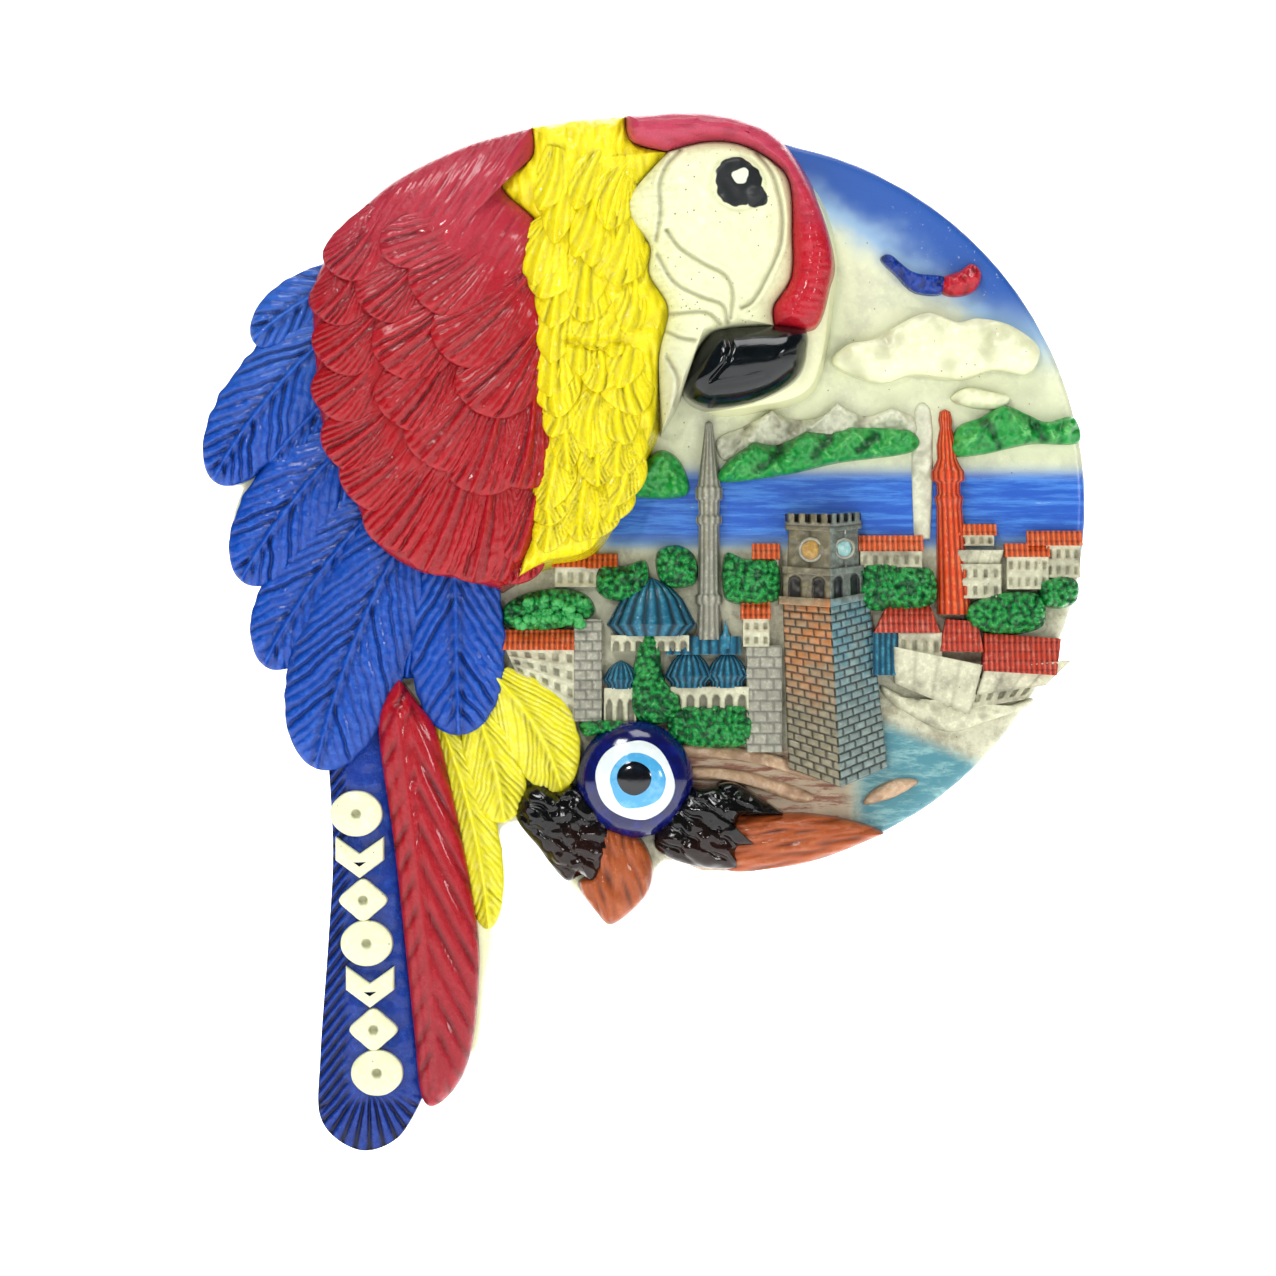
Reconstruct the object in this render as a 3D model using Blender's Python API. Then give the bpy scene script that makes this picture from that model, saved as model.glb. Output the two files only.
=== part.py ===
"""Souvenir relief plate: a one-pour resin casting with a glued glass bead and back magnets.

Millimetres in the tables below, metres in the scene. Seen from the front, x runs right and
z runs up from the centre of the round plate. A depth is a distance in front of the outer
faces of the magnets, which is the plane that the plate is held by.
"""
import bpy
import bmesh
from math import cos, sin, pi, radians, sqrt, hypot
from mathutils import Vector

MM = 0.001
CORNER = 0.0          # third value of an outline point that keeps a sharp corner
GAP = 0.3             # air between two sub-parts that meet
SHARE = GAP / 2.0     # what each of two neighbours gives up at their shared edge
CAP_SHARE = 0.8       # how far a pillow's rings run in from its edge to its ridge

# ---- driving dimensions ------------------------------------------------------------------
DISC_R = 32.1         # round plate behind the bird
BACK = 0.5            # resin back; the magnets stand this proud of it
FRONT = 5.0           # flat front of the casting, which carries the relief
SEAT = FRONT + GAP    # where the relief sub-parts start

MAGNET_T = 3.0
MAGNET_MAIN = (0.0, 0.0, 10.0)        # x, z, radius
MAGNET_LOWER = (-26.6, -33.2, 5.0)
GLUE_T = 0.3
POCKET_FLOOR = MAGNET_T + GAP + GLUE_T + GAP
POCKET_CLEAR = 0.35

BEAD_AT = (-7.3, -23.9)
BEAD_R = 5.1
BEAD_BACK = 5.1
BEAD_EQUATOR = 6.4
BEAD_RISE = 3.0
BEAD_SEAT_FLOOR = 4.2
BEAD_CLEAR = 0.35

# ---- shared edges of the bird, top to bottom ------------------------------------------------
COVERT_LEFT = [(-34.0, 21.2), (-35.1, 18.5), (-35.0, 13.0), (-34.2, 6.5), (-32.0, 1.5),
               (-29.8, -3.2), (-26.5, -5.6), (-23.0, -6.4), (-19.0, -7.3)]
COVERT_RIGHT = [(-16.2, 32.6), (-16.2, 30.0), (-18.8, 27.5), (-15.6, 24.0), (-15.9, 19.5),
                (-13.9, 16.0), (-12.8, 12.0), (-13.6, 6.5), (-15.2, 2.0), (-16.2, -2.0),
                (-17.8, -6.2)]
NECK_RIGHT = [(-7.6, 31.3), (-4.4, 30.4), (-7.6, 26.8), (-8.1, 25.0), (-5.8, 22.3),
              (-6.3, 19.8), (-4.4, 16.8), (-5.2, 12.5)]
FACE_RIGHT = [(-4.4, 30.4), (-1.3, 31.2), (1.7, 31.0), (4.6, 29.5), (6.1, 27.5), (6.3, 23.0),
              (6.2, 19.5), (4.7, 17.0), (4.8, 15.3)]


def corner(point):
    return (point[0], point[1], CORNER)


def corners(points):
    return [corner(p) for p in points]


# ---- outlines: (x, z) in order round the edge -------------------------------------------------
COVERTS = ([corner(COVERT_RIGHT[0]), (-22.0, 31.0), (-28.0, 28.0), (-32.0, 24.3)]
           + COVERT_LEFT[:-1] + [corner(COVERT_LEFT[-1]), (-17.9, -6.6)]
           + COVERT_RIGHT[:0:-1])
NECK = ([corner(COVERT_RIGHT[0]), (-12.5, 33.2), (-8.2, 33.5, CORNER)]
        + [NECK_RIGHT[0], corner(NECK_RIGHT[1])] + NECK_RIGHT[2:]
        + [(-5.8, 7.0), (-8.4, 1.2), (-11.0, -3.8), (-15.4, -5.0, CORNER)]
        + COVERT_RIGHT[-2:0:-1])
FACE = ([corner(FACE_RIGHT[0])] + FACE_RIGHT[1:-1] + [corner(FACE_RIGHT[-1])]
        + [(0.6, 15.3), (-1.2, 14.4), (-2.7, 11.8), (-3.4, 9.4), (-4.6, 6.6, CORNER)]
        + NECK_RIGHT[:1:-1])
STRIPE = ([(-8.0, 33.5, CORNER), (-2.0, 33.8), (2.3, 33.0), (5.2, 31.3), (8.0, 27.0),
           (9.7, 22.0), (9.5, 18.8), (8.2, 15.5)] + [corner(FACE_RIGHT[-1])]
          + FACE_RIGHT[-2:0:-1] + [corner(FACE_RIGHT[0]), NECK_RIGHT[0]])
BEAK = [(-0.9, 14.3), (0.9, 15.0), (6.9, 15.0), (7.5, 13.0), (6.5, 10.6), (3.2, 8.8),
        (-1.0, 8.3), (-3.0, 9.6), (-2.3, 12.0)]

FEATHER_1 = [corner(COVERT_LEFT[0]), (-37.8, 17.7), (-40.4, 14.3, CORNER), (-38.0, 14.2),
             (-35.2, 15.6, CORNER), (-35.1, 18.5)]
FEATHER_2 = [(-35.2, 15.6, CORNER), (-38.0, 14.0), (-39.8, 13.2, CORNER), (-42.4, 9.6),
             (-44.6, 5.0), (-44.1, 2.3), (-42.0, 2.0, CORNER), (-39.0, 4.6),
             (-34.6, 8.2, CORNER), (-35.1, 12.0)]
FEATHER_3 = [(-34.6, 8.2, CORNER), (-39.0, 4.5), (-42.0, 1.7, CORNER), (-43.1, -2.3),
             (-41.6, -5.9), (-39.9, -6.5, CORNER), (-38.0, -3.8), (-32.6, 1.2, CORNER),
             (-33.9, 4.8)]
FEATHER_4 = [(-32.6, 1.2, CORNER), (-38.0, -3.9), (-40.1, -6.8, CORNER), (-41.2, -9.8),
             (-39.9, -13.2), (-38.0, -13.9, CORNER), (-36.9, -11.9), (-35.2, -8.8),
             (-30.3, -3.3, CORNER), (-31.6, 0.0)]
FEATHER_5 = [(-30.3, -3.3, CORNER), (-35.2, -8.9), (-37.7, -14.2), (-37.4, -19.5),
             (-35.6, -22.5), (-32.2, -22.5), (-29.7, -18.9), (-28.9, -16.4),
             (-27.3, -14.4, CORNER), (-27.2, -10.5), (-26.7, -5.5, CORNER)]
FEATHER_6 = [(-26.7, -5.5, CORNER), (-27.2, -10.5), (-27.3, -14.4, CORNER), (-25.7, -17.0),
             (-22.6, -20.1), (-21.0, -18.0), (-20.1, -16.6), (-19.0, -13.5), (-18.8, -10.5),
             (-19.0, -7.3, CORNER), (-23.0, -6.4)]
WING_FEATHERS = [FEATHER_1, FEATHER_2, FEATHER_3, FEATHER_4, FEATHER_5, FEATHER_6]

RED_LEFT = [(-29.6, -19.0), (-28.2, -30.0), (-26.6, -45.0), (-25.8, -51.6)]
RED_TAIL = ([(-27.8, -15.4, CORNER)] + RED_LEFT
            + [(-24.0, -51.9), (-21.8, -48.5), (-20.9, -41.5), (-21.2, -35.5),
               (-23.1, -25.5), (-24.6, -19.6), (-26.2, -17.3)])
BLUE_TAIL = ([(-34.1, -23.0, CORNER), (-33.6, -30.0), (-34.0, -38.0), (-34.7, -48.0),
              (-34.6, -53.6), (-31.4, -56.4), (-28.0, -55.2), corner(RED_LEFT[3])]
             + RED_LEFT[2:0:-1] + [corner(RED_LEFT[0]), (-31.8, -22.7)])
YELLOW_FAN = [(-20.1, -16.6, CORNER), (-18.4, -14.9), (-15.5, -17.3), (-12.1, -20.5),
              (-12.4, -24.4, CORNER), (-15.0, -24.5), (-16.9, -25.0, CORNER),
              (-18.0, -21.5)]
YELLOW_MID = [(-20.4, -17.4, CORNER), (-18.4, -21.5), (-17.5, -25.2), (-18.3, -27.4),
              (-20.0, -27.1), (-21.2, -24.5), (-21.8, -20.4)]
YELLOW_LOW = [(-23.8, -19.6, CORNER), (-22.0, -20.8), (-21.3, -25.0), (-20.2, -27.4),
              (-18.9, -31.5), (-19.0, -35.0), (-19.9, -37.0), (-21.2, -35.3),
              (-23.0, -25.5)]

FOOT_LEFT = [(-16.9, -25.2), (-13.6, -24.8), (-12.6, -24.9, CORNER), (-11.3, -27.8),
             (-9.9, -29.4), (-9.9, -30.6), (-11.4, -32.9), (-13.4, -32.6), (-15.7, -29.9),
             (-17.6, -27.3)]
BRANCH_STUB = [(-9.9, -29.4, CORNER), (-7.2, -29.5), (-5.9, -31.2), (-6.1, -33.5),
               (-7.5, -35.3), (-9.4, -36.6), (-10.6, -35.6), (-12.2, -33.2, CORNER),
               (-11.4, -32.9), (-9.9, -30.6)]
FOOT_RIGHT = [(-1.9, -25.3), (1.1, -24.3), (5.6, -26.9, CORNER), (2.4, -27.4),
              (1.9, -28.6), (3.3, -29.8, CORNER), (1.5, -30.5), (1.7, -31.8, CORNER),
              (-1.5, -31.5), (-4.7, -30.4), (-5.1, -29.1)]
BRANCH_MAIN = [(2.4, -27.4), (5.6, -26.9, CORNER), (9.5, -26.8), (13.0, -27.8),
               (14.2, -28.7, CORNER), (9.5, -30.7), (5.0, -31.6), (1.7, -31.8, CORNER),
               (1.5, -30.5), (3.3, -29.8, CORNER), (1.9, -28.6)]

SNOW_RIDGE = [(-0.1, 5.6), (2.4, 6.9), (4.6, 8.0), (6.7, 7.6), (9.2, 7.8), (10.3, 8.6),
              (12.7, 7.9), (15.0, 8.2), (16.8, 7.6), (16.6, 6.9), (11.6, 6.9), (6.9, 6.4),
              (2.6, 5.7), (0.5, 4.4)]
HILLS_MID = [(0.8, 3.2), (2.6, 5.1), (6.9, 5.8), (11.6, 6.3), (16.6, 6.2), (16.8, 4.6),
             (10.0, 3.8), (5.8, 2.9), (1.0, 2.3)]
HILLS_RIGHT = [(21.4, 7.4), (24.9, 8.7), (28.0, 7.0), (30.9, 7.6), (31.2, 5.4),
               (27.1, 5.6), (21.4, 4.2)]
GULL = [(14.2, 21.3), (15.0, 21.9), (17.2, 20.1), (19.6, 19.8), (22.0, 21.6), (24.9, 20.6),
        (23.6, 19.9), (22.0, 18.6), (19.6, 18.3), (17.0, 18.5)]
CLOUD_LONG = [(10.2, 12.0), (12.0, 14.6), (15.0, 15.4), (18.4, 16.7), (22.0, 15.7),
              (25.6, 15.8), (28.2, 13.6), (27.2, 11.2), (21.5, 11.0), (15.5, 10.6)]
MINARET_GREY = [(-1.4, 7.0, CORNER), (-0.5, 3.7), (-0.2, 1.4), (0.3, 0.0), (0.3, -8.3),
                (0.1, -11.6), (-0.9, -11.6), (-1.5, -8.3), (-1.7, 0.0), (-2.0, 1.4),
                (-2.2, 3.7)]
MINARET_ORANGE = [(19.3, 8.1), (20.6, 5.2), (20.8, 3.8), (21.5, 3.2), (21.4, 2.0),
                  (21.3, 0.9), (22.0, -9.6, CORNER), (19.1, -9.6, CORNER), (19.7, 0.9),
                  (19.2, 2.2), (19.1, 3.2), (19.6, 4.0), (18.9, 5.2)]

DOME_MAIN = [(-9.2, -11.0), (-8.8, -8.9), (-7.0, -7.0), (-6.0, -6.3), (-4.9, -7.0),
             (-3.2, -8.7), (-2.5, -11.0), (-5.9, -11.4)]
DOME_MID = [(-4.3, -15.9), (-3.8, -14.2), (-2.5, -12.8), (-1.4, -14.0), (-0.9, -15.9),
            (-2.6, -16.2)]
DOME_RIGHT = [(-0.6, -15.9), (-0.3, -14.2), (0.9, -13.0), (2.0, -14.1), (2.3, -15.9),
              (0.8, -16.2)]
MOSQUE_HALL = corners([(-4.4, -11.7), (2.3, -11.7), (2.3, -12.6), (-4.4, -12.6)])
CYPRESS = [(-6.4, -11.7), (-5.2, -12.5), (-4.9, -15.0), (-4.7, -16.6), (-3.7, -17.4),
           (-3.8, -18.7), (-5.6, -19.0), (-7.2, -18.2), (-6.9, -14.0)]
GARDEN = [(-3.2, -17.4), (-1.0, -17.1), (2.3, -17.4), (2.4, -20.6), (-0.2, -21.2),
          (-2.3, -20.3)]
HOUSE_LEFT = corners([(-18.4, -11.0), (-12.9, -11.2), (-12.6, -12.6), (-12.6, -19.0),
                      (-14.4, -17.4), (-17.8, -13.9), (-18.4, -12.6)])
STONE_TOWER = corners([(-12.3, -10.2), (-10.4, -10.2), (-10.4, -19.2), (-12.3, -19.2)])
GROVE_MID = [(0.7, -3.6), (2.6, -3.3), (5.1, -4.4), (5.2, -7.6), (2.6, -8.0), (0.7, -7.4)]
HOUSES_COAST = corners([(22.5, -2.6), (31.8, -1.9), (31.4, -5.8), (22.5, -7.6)])
GROVE_COAST = [(22.6, -9.0), (25.6, -7.9), (30.0, -6.5), (30.6, -8.4), (27.2, -10.8),
               (22.8, -10.6)]
HOUSES_RED = corners([(15.0, -9.2), (18.6, -9.2), (19.5, -10.4), (22.4, -11.0), (29.4, -11.4),
                      (28.0, -14.8), (19.5, -13.0), (15.2, -12.2)])
TERRACE = corners([(15.4, -12.8), (19.2, -13.3), (24.0, -14.6), (25.8, -16.6),
                   (22.0, -18.6), (15.6, -17.6)])

# front slopes of the clock tower: (x of left edge, corner edge, right edge), z of the
# three, and the depths of the outer edges and of the corner edge
CLOCK_SHAFT = ((6.0, 10.4, 14.6), (-23.2, -24.8, -22.9), (5.9, 9.7, 12.8),
               (-6.0, -6.1, -5.9), 6.4, 8.2)
CLOCK_HEAD = ((6.1, 9.6, 12.2), (-5.6, -5.7, -5.5), (6.0, 9.6, 12.1),
              (-0.8, -0.9, -0.8), 6.8, 8.8)

# carving down the blue tail feather: middle of the row's ends, and half sizes
ORNAMENT_FIRST = (-31.6, -26.8)
ORNAMENT_LAST = (-29.9, -49.6)
ORNAMENT_COUNT = 7
ORNAMENT_HALF = (1.7, 1.45)
TAIL_FACE = 6.8
ORNAMENT_TOP = 7.9

# silhouette of the casting outside the round plate, from the branch clockwise to the crown
CASTING_EDGE = [(-1.5, -32.0, CORNER), (-4.8, -31.2), (-6.1, -33.5), (-7.5, -35.3), (-9.4, -36.6),
                (-10.6, -35.6), (-13.4, -32.7), (-15.7, -29.9), (-17.2, -27.5, CORNER),
                (-19.2, -28.2), (-18.8, -31.5), (-18.9, -35.0), (-20.0, -37.6),
                (-20.6, -41.5), (-21.6, -48.5), (-24.0, -51.9), (-25.9, -52.3, CORNER),
                (-28.0, -55.2), (-31.4, -56.4), (-34.6, -53.6), (-34.7, -48.0),
                (-34.0, -38.0), (-33.6, -30.0), (-34.2, -23.6, CORNER), (-35.6, -22.5),
                (-37.4, -19.5), (-37.7, -14.6), (-39.9, -13.2), (-41.2, -9.8),
                (-40.3, -6.6, CORNER), (-41.6, -5.9), (-43.1, -2.3), (-42.2, 1.9, CORNER),
                (-44.1, 2.3), (-44.6, 5.0), (-42.4, 9.6), (-40.0, 13.2, CORNER),
                (-40.4, 14.3, CORNER), (-37.8, 17.7), (-34.3, 21.1), (-32.0, 24.3),
                (-28.0, 28.0), (-22.0, 31.0), (-16.2, 32.6), (-12.5, 33.2), (-8.0, 33.5),
                (-2.0, 33.8), (2.3, 33.0), (5.2, 31.9, CORNER)]
ARC_START = 78.0      # the free rim of the plate, in degrees from +x
ARC_END = -92.0
ARC_STEPS = 34


# ---- shape helpers ----------------------------------------------------------------------------
def smooth(points, steps=2):
    """Closed curve through the points; a point marked CORNER stays sharp."""
    count = len(points)
    result = []
    for i in range(count):
        before, here, there, after = (points[(i + k) % count] for k in (-1, 0, 1, 2))
        pull_a = 0.5 * (here[2] if len(here) > 2 else 1.0)
        pull_b = 0.5 * (there[2] if len(there) > 2 else 1.0)
        for k in range(steps):
            t = k / steps
            h = (2 * t ** 3 - 3 * t ** 2 + 1, t ** 3 - 2 * t ** 2 + t,
                 -2 * t ** 3 + 3 * t ** 2, t ** 3 - t ** 2)
            result.append(tuple(h[0] * here[a] + h[1] * pull_a * (there[a] - before[a])
                                + h[2] * there[a] + h[3] * pull_b * (after[a] - here[a])
                                for a in (0, 1)))
    return result


def turned_outward(points):
    """The same loop, running anticlockwise as seen from the front."""
    count = len(points)
    area = sum(points[i][0] * points[(i + 1) % count][1]
               - points[(i + 1) % count][0] * points[i][1] for i in range(count))
    return points if area > 0 else points[::-1]


def inset(points, distance):
    """Loop moved inwards by a distance, for an anticlockwise loop."""
    count = len(points)
    moved = []
    for i, here in enumerate(points):
        before = Vector(points[i - 1])
        after = Vector(points[(i + 1) % count])
        a = (Vector(here) - before).normalized()
        b = (after - Vector(here)).normalized()
        normal = Vector((-a.y - b.y, a.x + b.x))
        if normal.length < 0.2:
            normal = Vector((-a.y, a.x))
        normal.normalize()
        stretch = 1.0 / max(0.6, normal.dot(Vector((-a.y, a.x))))
        moved.append(tuple(Vector(here) + normal * distance * stretch))
    return moved


def nearest_on(line, point):
    """Closest place on a polyline to a point."""
    best = None
    for a, b in zip(line, line[1:]):
        a, b, p = Vector(a), Vector(b), Vector(point)
        run = b - a
        t = max(0.0, min(1.0, (p - a).dot(run) / run.length_squared))
        place = a + run * t
        if best is None or (p - place).length < (p - best).length:
            best = place
    return best


def clear_of_bead(points):
    """Push the points of a loop out of the bead's seat."""
    keep = BEAD_R + BEAD_CLEAR
    moved = []
    for x, z in points:
        dx, dz = x - BEAD_AT[0], z - BEAD_AT[1]
        reach = hypot(dx, dz)
        grow = keep / reach if reach < keep else 1.0
        moved.append((BEAD_AT[0] + dx * grow, BEAD_AT[1] + dz * grow))
    return moved


def at(x, z, depth):
    return Vector((x * MM, -depth * MM, z * MM))


def material(name, colour, roughness, metallic=0.0, coat=0.0):
    mat = bpy.data.materials.new(name)
    mat.use_nodes = True
    shader = mat.node_tree.nodes["Principled BSDF"]
    shader.inputs["Base Color"].default_value = (*colour, 1.0)
    shader.inputs["Roughness"].default_value = roughness
    shader.inputs["Metallic"].default_value = metallic
    shader.inputs["Coat Weight"].default_value = coat
    mat.diffuse_color = (*colour, 1.0)
    return mat


def finish(name, bm, mat, smooth_shading=True):
    bmesh.ops.recalc_face_normals(bm, faces=bm.faces)
    mesh = bpy.data.meshes.new(name)
    bm.to_mesh(mesh)
    bm.free()
    mesh.materials.append(mat)
    for face in mesh.polygons:
        face.use_smooth = smooth_shading
    obj = bpy.data.objects.new(name, mesh)
    bpy.context.scene.collection.objects.link(obj)
    return obj


def loft(name, loops, mat, smooth_shading=True):
    """Closed body through loops of equal length, capped at both ends."""
    bm = bmesh.new()
    rings = [[bm.verts.new(p) for p in loop] for loop in loops]
    for low, high in zip(rings, rings[1:]):
        for i in range(len(low)):
            j = (i + 1) % len(low)
            bm.faces.new((low[i], low[j], high[j], high[i]))
    bm.faces.new(rings[0][::-1])
    bm.faces.new(rings[-1])
    bm.normal_update()
    bmesh.ops.triangulate(bm, faces=[f for f in bm.faces if len(f.verts) > 4])
    return finish(name, bm, mat, smooth_shading)


def flat_relief(name, outline, back, front, edge, mat, steps=2, shading=True):
    """Raised area with a flat face and a rounded front rim."""
    loop = clear_of_bead(inset(turned_outward(smooth(outline, steps)), SHARE))
    loops = [[at(x, z, back) for x, z in loop], [at(x, z, front - edge) for x, z in loop]]
    for share in (0.5, 1.0):
        ring = inset(loop, edge * (1.0 - sqrt(1.0 - share ** 2)) * 0.9)
        loops.append([at(x, z, front - edge + edge * share) for x, z in ring])
    return loft(name, loops, mat, shading)


def pillow_relief(name, outline, ridge, back, rim, crown, mat, rings=4, steps=2):
    """Raised area that swells from its rim to a ridge line."""
    loop = clear_of_bead(inset(turned_outward(smooth(outline, steps)), SHARE))
    feet = [nearest_on(ridge, p) for p in loop]
    loops = [[at(x, z, back) for x, z in loop], [at(x, z, rim) for x, z in loop]]
    for k in range(1, rings + 1):
        t = CAP_SHARE * k / rings
        height = rim + (crown - rim) * sqrt(1.0 - (1.0 - t) ** 2)
        loops.append([at(x + (f.x - x) * t, z + (f.y - z) * t, height)
                      for (x, z), f in zip(loop, feet)])
    return loft(name, loops, mat)


def turned(name, profile, centre, mat, steps=40):
    """Body of revolution; the profile is (radius, depth) from the axis round to the axis."""
    bm = bmesh.new()
    inner = profile[1:-1]
    rings = []
    for k in range(steps):
        angle = 2 * pi * k / steps
        rings.append([bm.verts.new(at(centre[0] + r * cos(angle), centre[1] + r * sin(angle), d))
                      for r, d in inner])
    first = bm.verts.new(at(centre[0], centre[1], profile[0][1]))
    last = bm.verts.new(at(centre[0], centre[1], profile[-1][1]))
    for k in range(steps):
        a, b = rings[k], rings[(k + 1) % steps]
        for i in range(len(inner) - 1):
            bm.faces.new((a[i], a[i + 1], b[i + 1], b[i]))
        bm.faces.new((first, a[0], b[0]))
        bm.faces.new((last, b[-1], a[-1]))
    return finish(name, bm, mat)


def disc(name, x, z, radius, back, front, mat, bevel=0.2):
    profile = [(0, back), (radius - bevel, back), (radius, back + bevel),
               (radius, front - bevel), (radius - bevel, front), (0, front)]
    return turned(name, profile, (x, z), mat, 48)


def cutter(x, z, radius, low, high, steps=48):
    """Hidden cylinder that a Boolean removes from the casting."""
    bm = bmesh.new()
    rings = [[bm.verts.new(at(x + radius * cos(2 * pi * k / steps),
                              z + radius * sin(2 * pi * k / steps), d))
              for k in range(steps)] for d in (low, high)]
    for k in range(steps):
        j = (k + 1) % steps
        bm.faces.new((rings[0][k], rings[0][j], rings[1][j], rings[1][k]))
    bm.faces.new(rings[0][::-1])
    bm.faces.new(rings[1])
    bmesh.ops.recalc_face_normals(bm, faces=bm.faces)
    mesh = bpy.data.meshes.new("pocket_cutter")
    bm.to_mesh(mesh)
    bm.free()
    obj = bpy.data.objects.new("pocket_cutter", mesh)
    bpy.context.scene.collection.objects.link(obj)
    obj.hide_render = True
    obj.display_type = "WIRE"
    return obj


# ---- sub-parts ------------------------------------------------------------------------------------
def build_casting(mat):
    """Back slab of the one-pour casting, with magnet pockets and the bead's seat."""
    edge = smooth(CASTING_EDGE, 2)[:2 * len(CASTING_EDGE) - 1]
    arc = []
    for k in range(ARC_STEPS + 1):
        angle = radians(ARC_START + (ARC_END - ARC_START) * k / ARC_STEPS)
        arc.append((DISC_R * cos(angle), DISC_R * sin(angle)))
    loop = turned_outward(arc + edge)
    draft = inset(loop, 0.25)
    loops = [[at(x, z, BACK) for x, z in inset(loop, 0.55)],
             [at(x, z, BACK + 0.4) for x, z in draft],
             [at(x, z, FRONT - 0.5) for x, z in loop],
             [at(x, z, FRONT) for x, z in inset(loop, 0.3)]]
    casting = loft("casting", loops, mat)
    pockets = [(*MAGNET_MAIN[:2], MAGNET_MAIN[2] + POCKET_CLEAR, BACK - 2.0, POCKET_FLOOR),
               (*MAGNET_LOWER[:2], MAGNET_LOWER[2] + POCKET_CLEAR, BACK - 2.0, POCKET_FLOOR),
               (*BEAD_AT, BEAD_R + BEAD_CLEAR, BEAD_SEAT_FLOOR, FRONT + 3.0)]
    for place in pockets:
        cut = casting.modifiers.new("pocket", "BOOLEAN")
        cut.operation = "DIFFERENCE"
        cut.solver = "EXACT"
        cut.object = cutter(*place)


def build_bird(red, blue, yellow, cream, black, orange):
    """The parrot: coverts, wing feathers, neck, head, tail and feet."""
    pillow_relief("wing_coverts", COVERTS, [(-24.0, 21.0), (-25.0, 8.0)], SEAT, 8.0, 11.6, red)
    flat_relief("neck_feathers", NECK, SEAT, 9.6, 0.5, yellow)
    pillow_relief("face", FACE, [(-0.5, 27.0), (0.2, 18.5), (-3.0, 13.0)], SEAT, 8.6, 12.4,
                  cream)
    pillow_relief("crown_stripe", STRIPE,
                  [(-5.4, 32.3), (2.0, 32.0), (6.6, 28.0), (7.9, 22.0), (7.0, 17.0)],
                  SEAT, 8.4, 11.4, red)
    pillow_relief("beak", BEAK, [(0.5, 11.6), (4.6, 12.2)], SEAT, 8.4, 13.0, black)
    spines = [[(-36.0, 18.2), (-38.2, 15.8)], [(-37.6, 11.6), (-42.3, 5.0)],
              [(-36.2, 3.6), (-40.7, -3.0)], [(-34.2, -3.0), (-38.9, -10.3)],
              [(-30.0, -8.5), (-33.6, -18.0)], [(-22.9, -10.2), (-22.9, -15.6)]]
    for k, (outline, spine) in enumerate(zip(WING_FEATHERS, spines)):
        pillow_relief(f"wing_feather_{k + 1}", outline, spine, SEAT, 6.4, 8.2, blue, 3)
    flat_relief("tail_feather_blue", BLUE_TAIL, SEAT, TAIL_FACE, 0.6, blue)
    pillow_relief("tail_feather_red", RED_TAIL, [(-26.9, -20.5), (-24.3, -40.0), (-23.6, -47.5)],
                  SEAT, 6.8, 9.0, red)
    pillow_relief("tail_feather_yellow_1", YELLOW_FAN, [(-17.6, -18.2), (-14.8, -21.8)],
                  SEAT, 6.2, 7.8, yellow, 3)
    pillow_relief("tail_feather_yellow_2", YELLOW_MID, [(-20.0, -20.6), (-19.0, -25.0)],
                  SEAT, 6.2, 7.6, yellow, 3)
    pillow_relief("tail_feather_yellow_3", YELLOW_LOW, [(-22.6, -22.2), (-20.6, -30.0), (-20.0, -34.5)],
                  SEAT, 6.2, 7.4, yellow, 3)
    pillow_relief("foot_left", FOOT_LEFT, [(-14.6, -27.0), (-12.2, -30.6)], SEAT, 6.6, 8.4,
                  black, 3)
    pillow_relief("foot_right", FOOT_RIGHT, [(0.2, -26.9), (-1.2, -29.4)], SEAT, 6.6, 8.4,
                  black, 3)
    pillow_relief("branch_stub", BRANCH_STUB, [(-8.2, -31.6), (-9.0, -34.0)], SEAT, 6.4, 8.0,
                  orange, 3)
    pillow_relief("branch_main", BRANCH_MAIN, [(5.4, -29.4), (11.5, -28.9)], SEAT, 6.4, 8.0,
                  orange, 3)


def build_carvings(cream):
    """Row of raised ornaments down the blue tail feather."""
    half_w, half_h = ORNAMENT_HALF
    shapes = [
        corners([(0, 1), (1, 0), (0, -1), (-1, 0)]),
        corners([(-1, 0.9), (0, 0.1), (1, 0.9), (1, -0.2), (0, -1), (-1, -0.2)]),
        [(0, 1), (0.75, 0.75), (1, 0), (0.75, -0.75), (0, -1), (-0.75, -0.75), (-1, 0),
         (-0.75, 0.75)],
    ]
    for k in range(ORNAMENT_COUNT):
        t = k / (ORNAMENT_COUNT - 1)
        x = ORNAMENT_FIRST[0] + (ORNAMENT_LAST[0] - ORNAMENT_FIRST[0]) * t
        z = ORNAMENT_FIRST[1] + (ORNAMENT_LAST[1] - ORNAMENT_FIRST[1]) * t
        shape = shapes[k % 3]
        outline = [(x + half_w * p[0], z + half_h * p[1]) + tuple(p[2:]) for p in shape]
        flat_relief(f"tail_carving_{k + 1}", outline, TAIL_FACE + GAP, ORNAMENT_TOP, 0.3, cream)


def build_landscape(cream, blue, green, white):
    """Clouds, gull, snow ridge and hills behind the town."""
    flat_relief("cloud_long", CLOUD_LONG, SEAT, 6.7, 0.7, cream)
    flat_relief("gull", GULL, SEAT, 6.6, 0.2, blue)
    flat_relief("snow_ridge", SNOW_RIDGE, SEAT, 5.9, 0.2, white)
    flat_relief("hills_mid", HILLS_MID, SEAT, 6.6, 0.3, green)
    flat_relief("hills_right", HILLS_RIGHT, SEAT, 6.7, 0.3, green)


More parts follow.
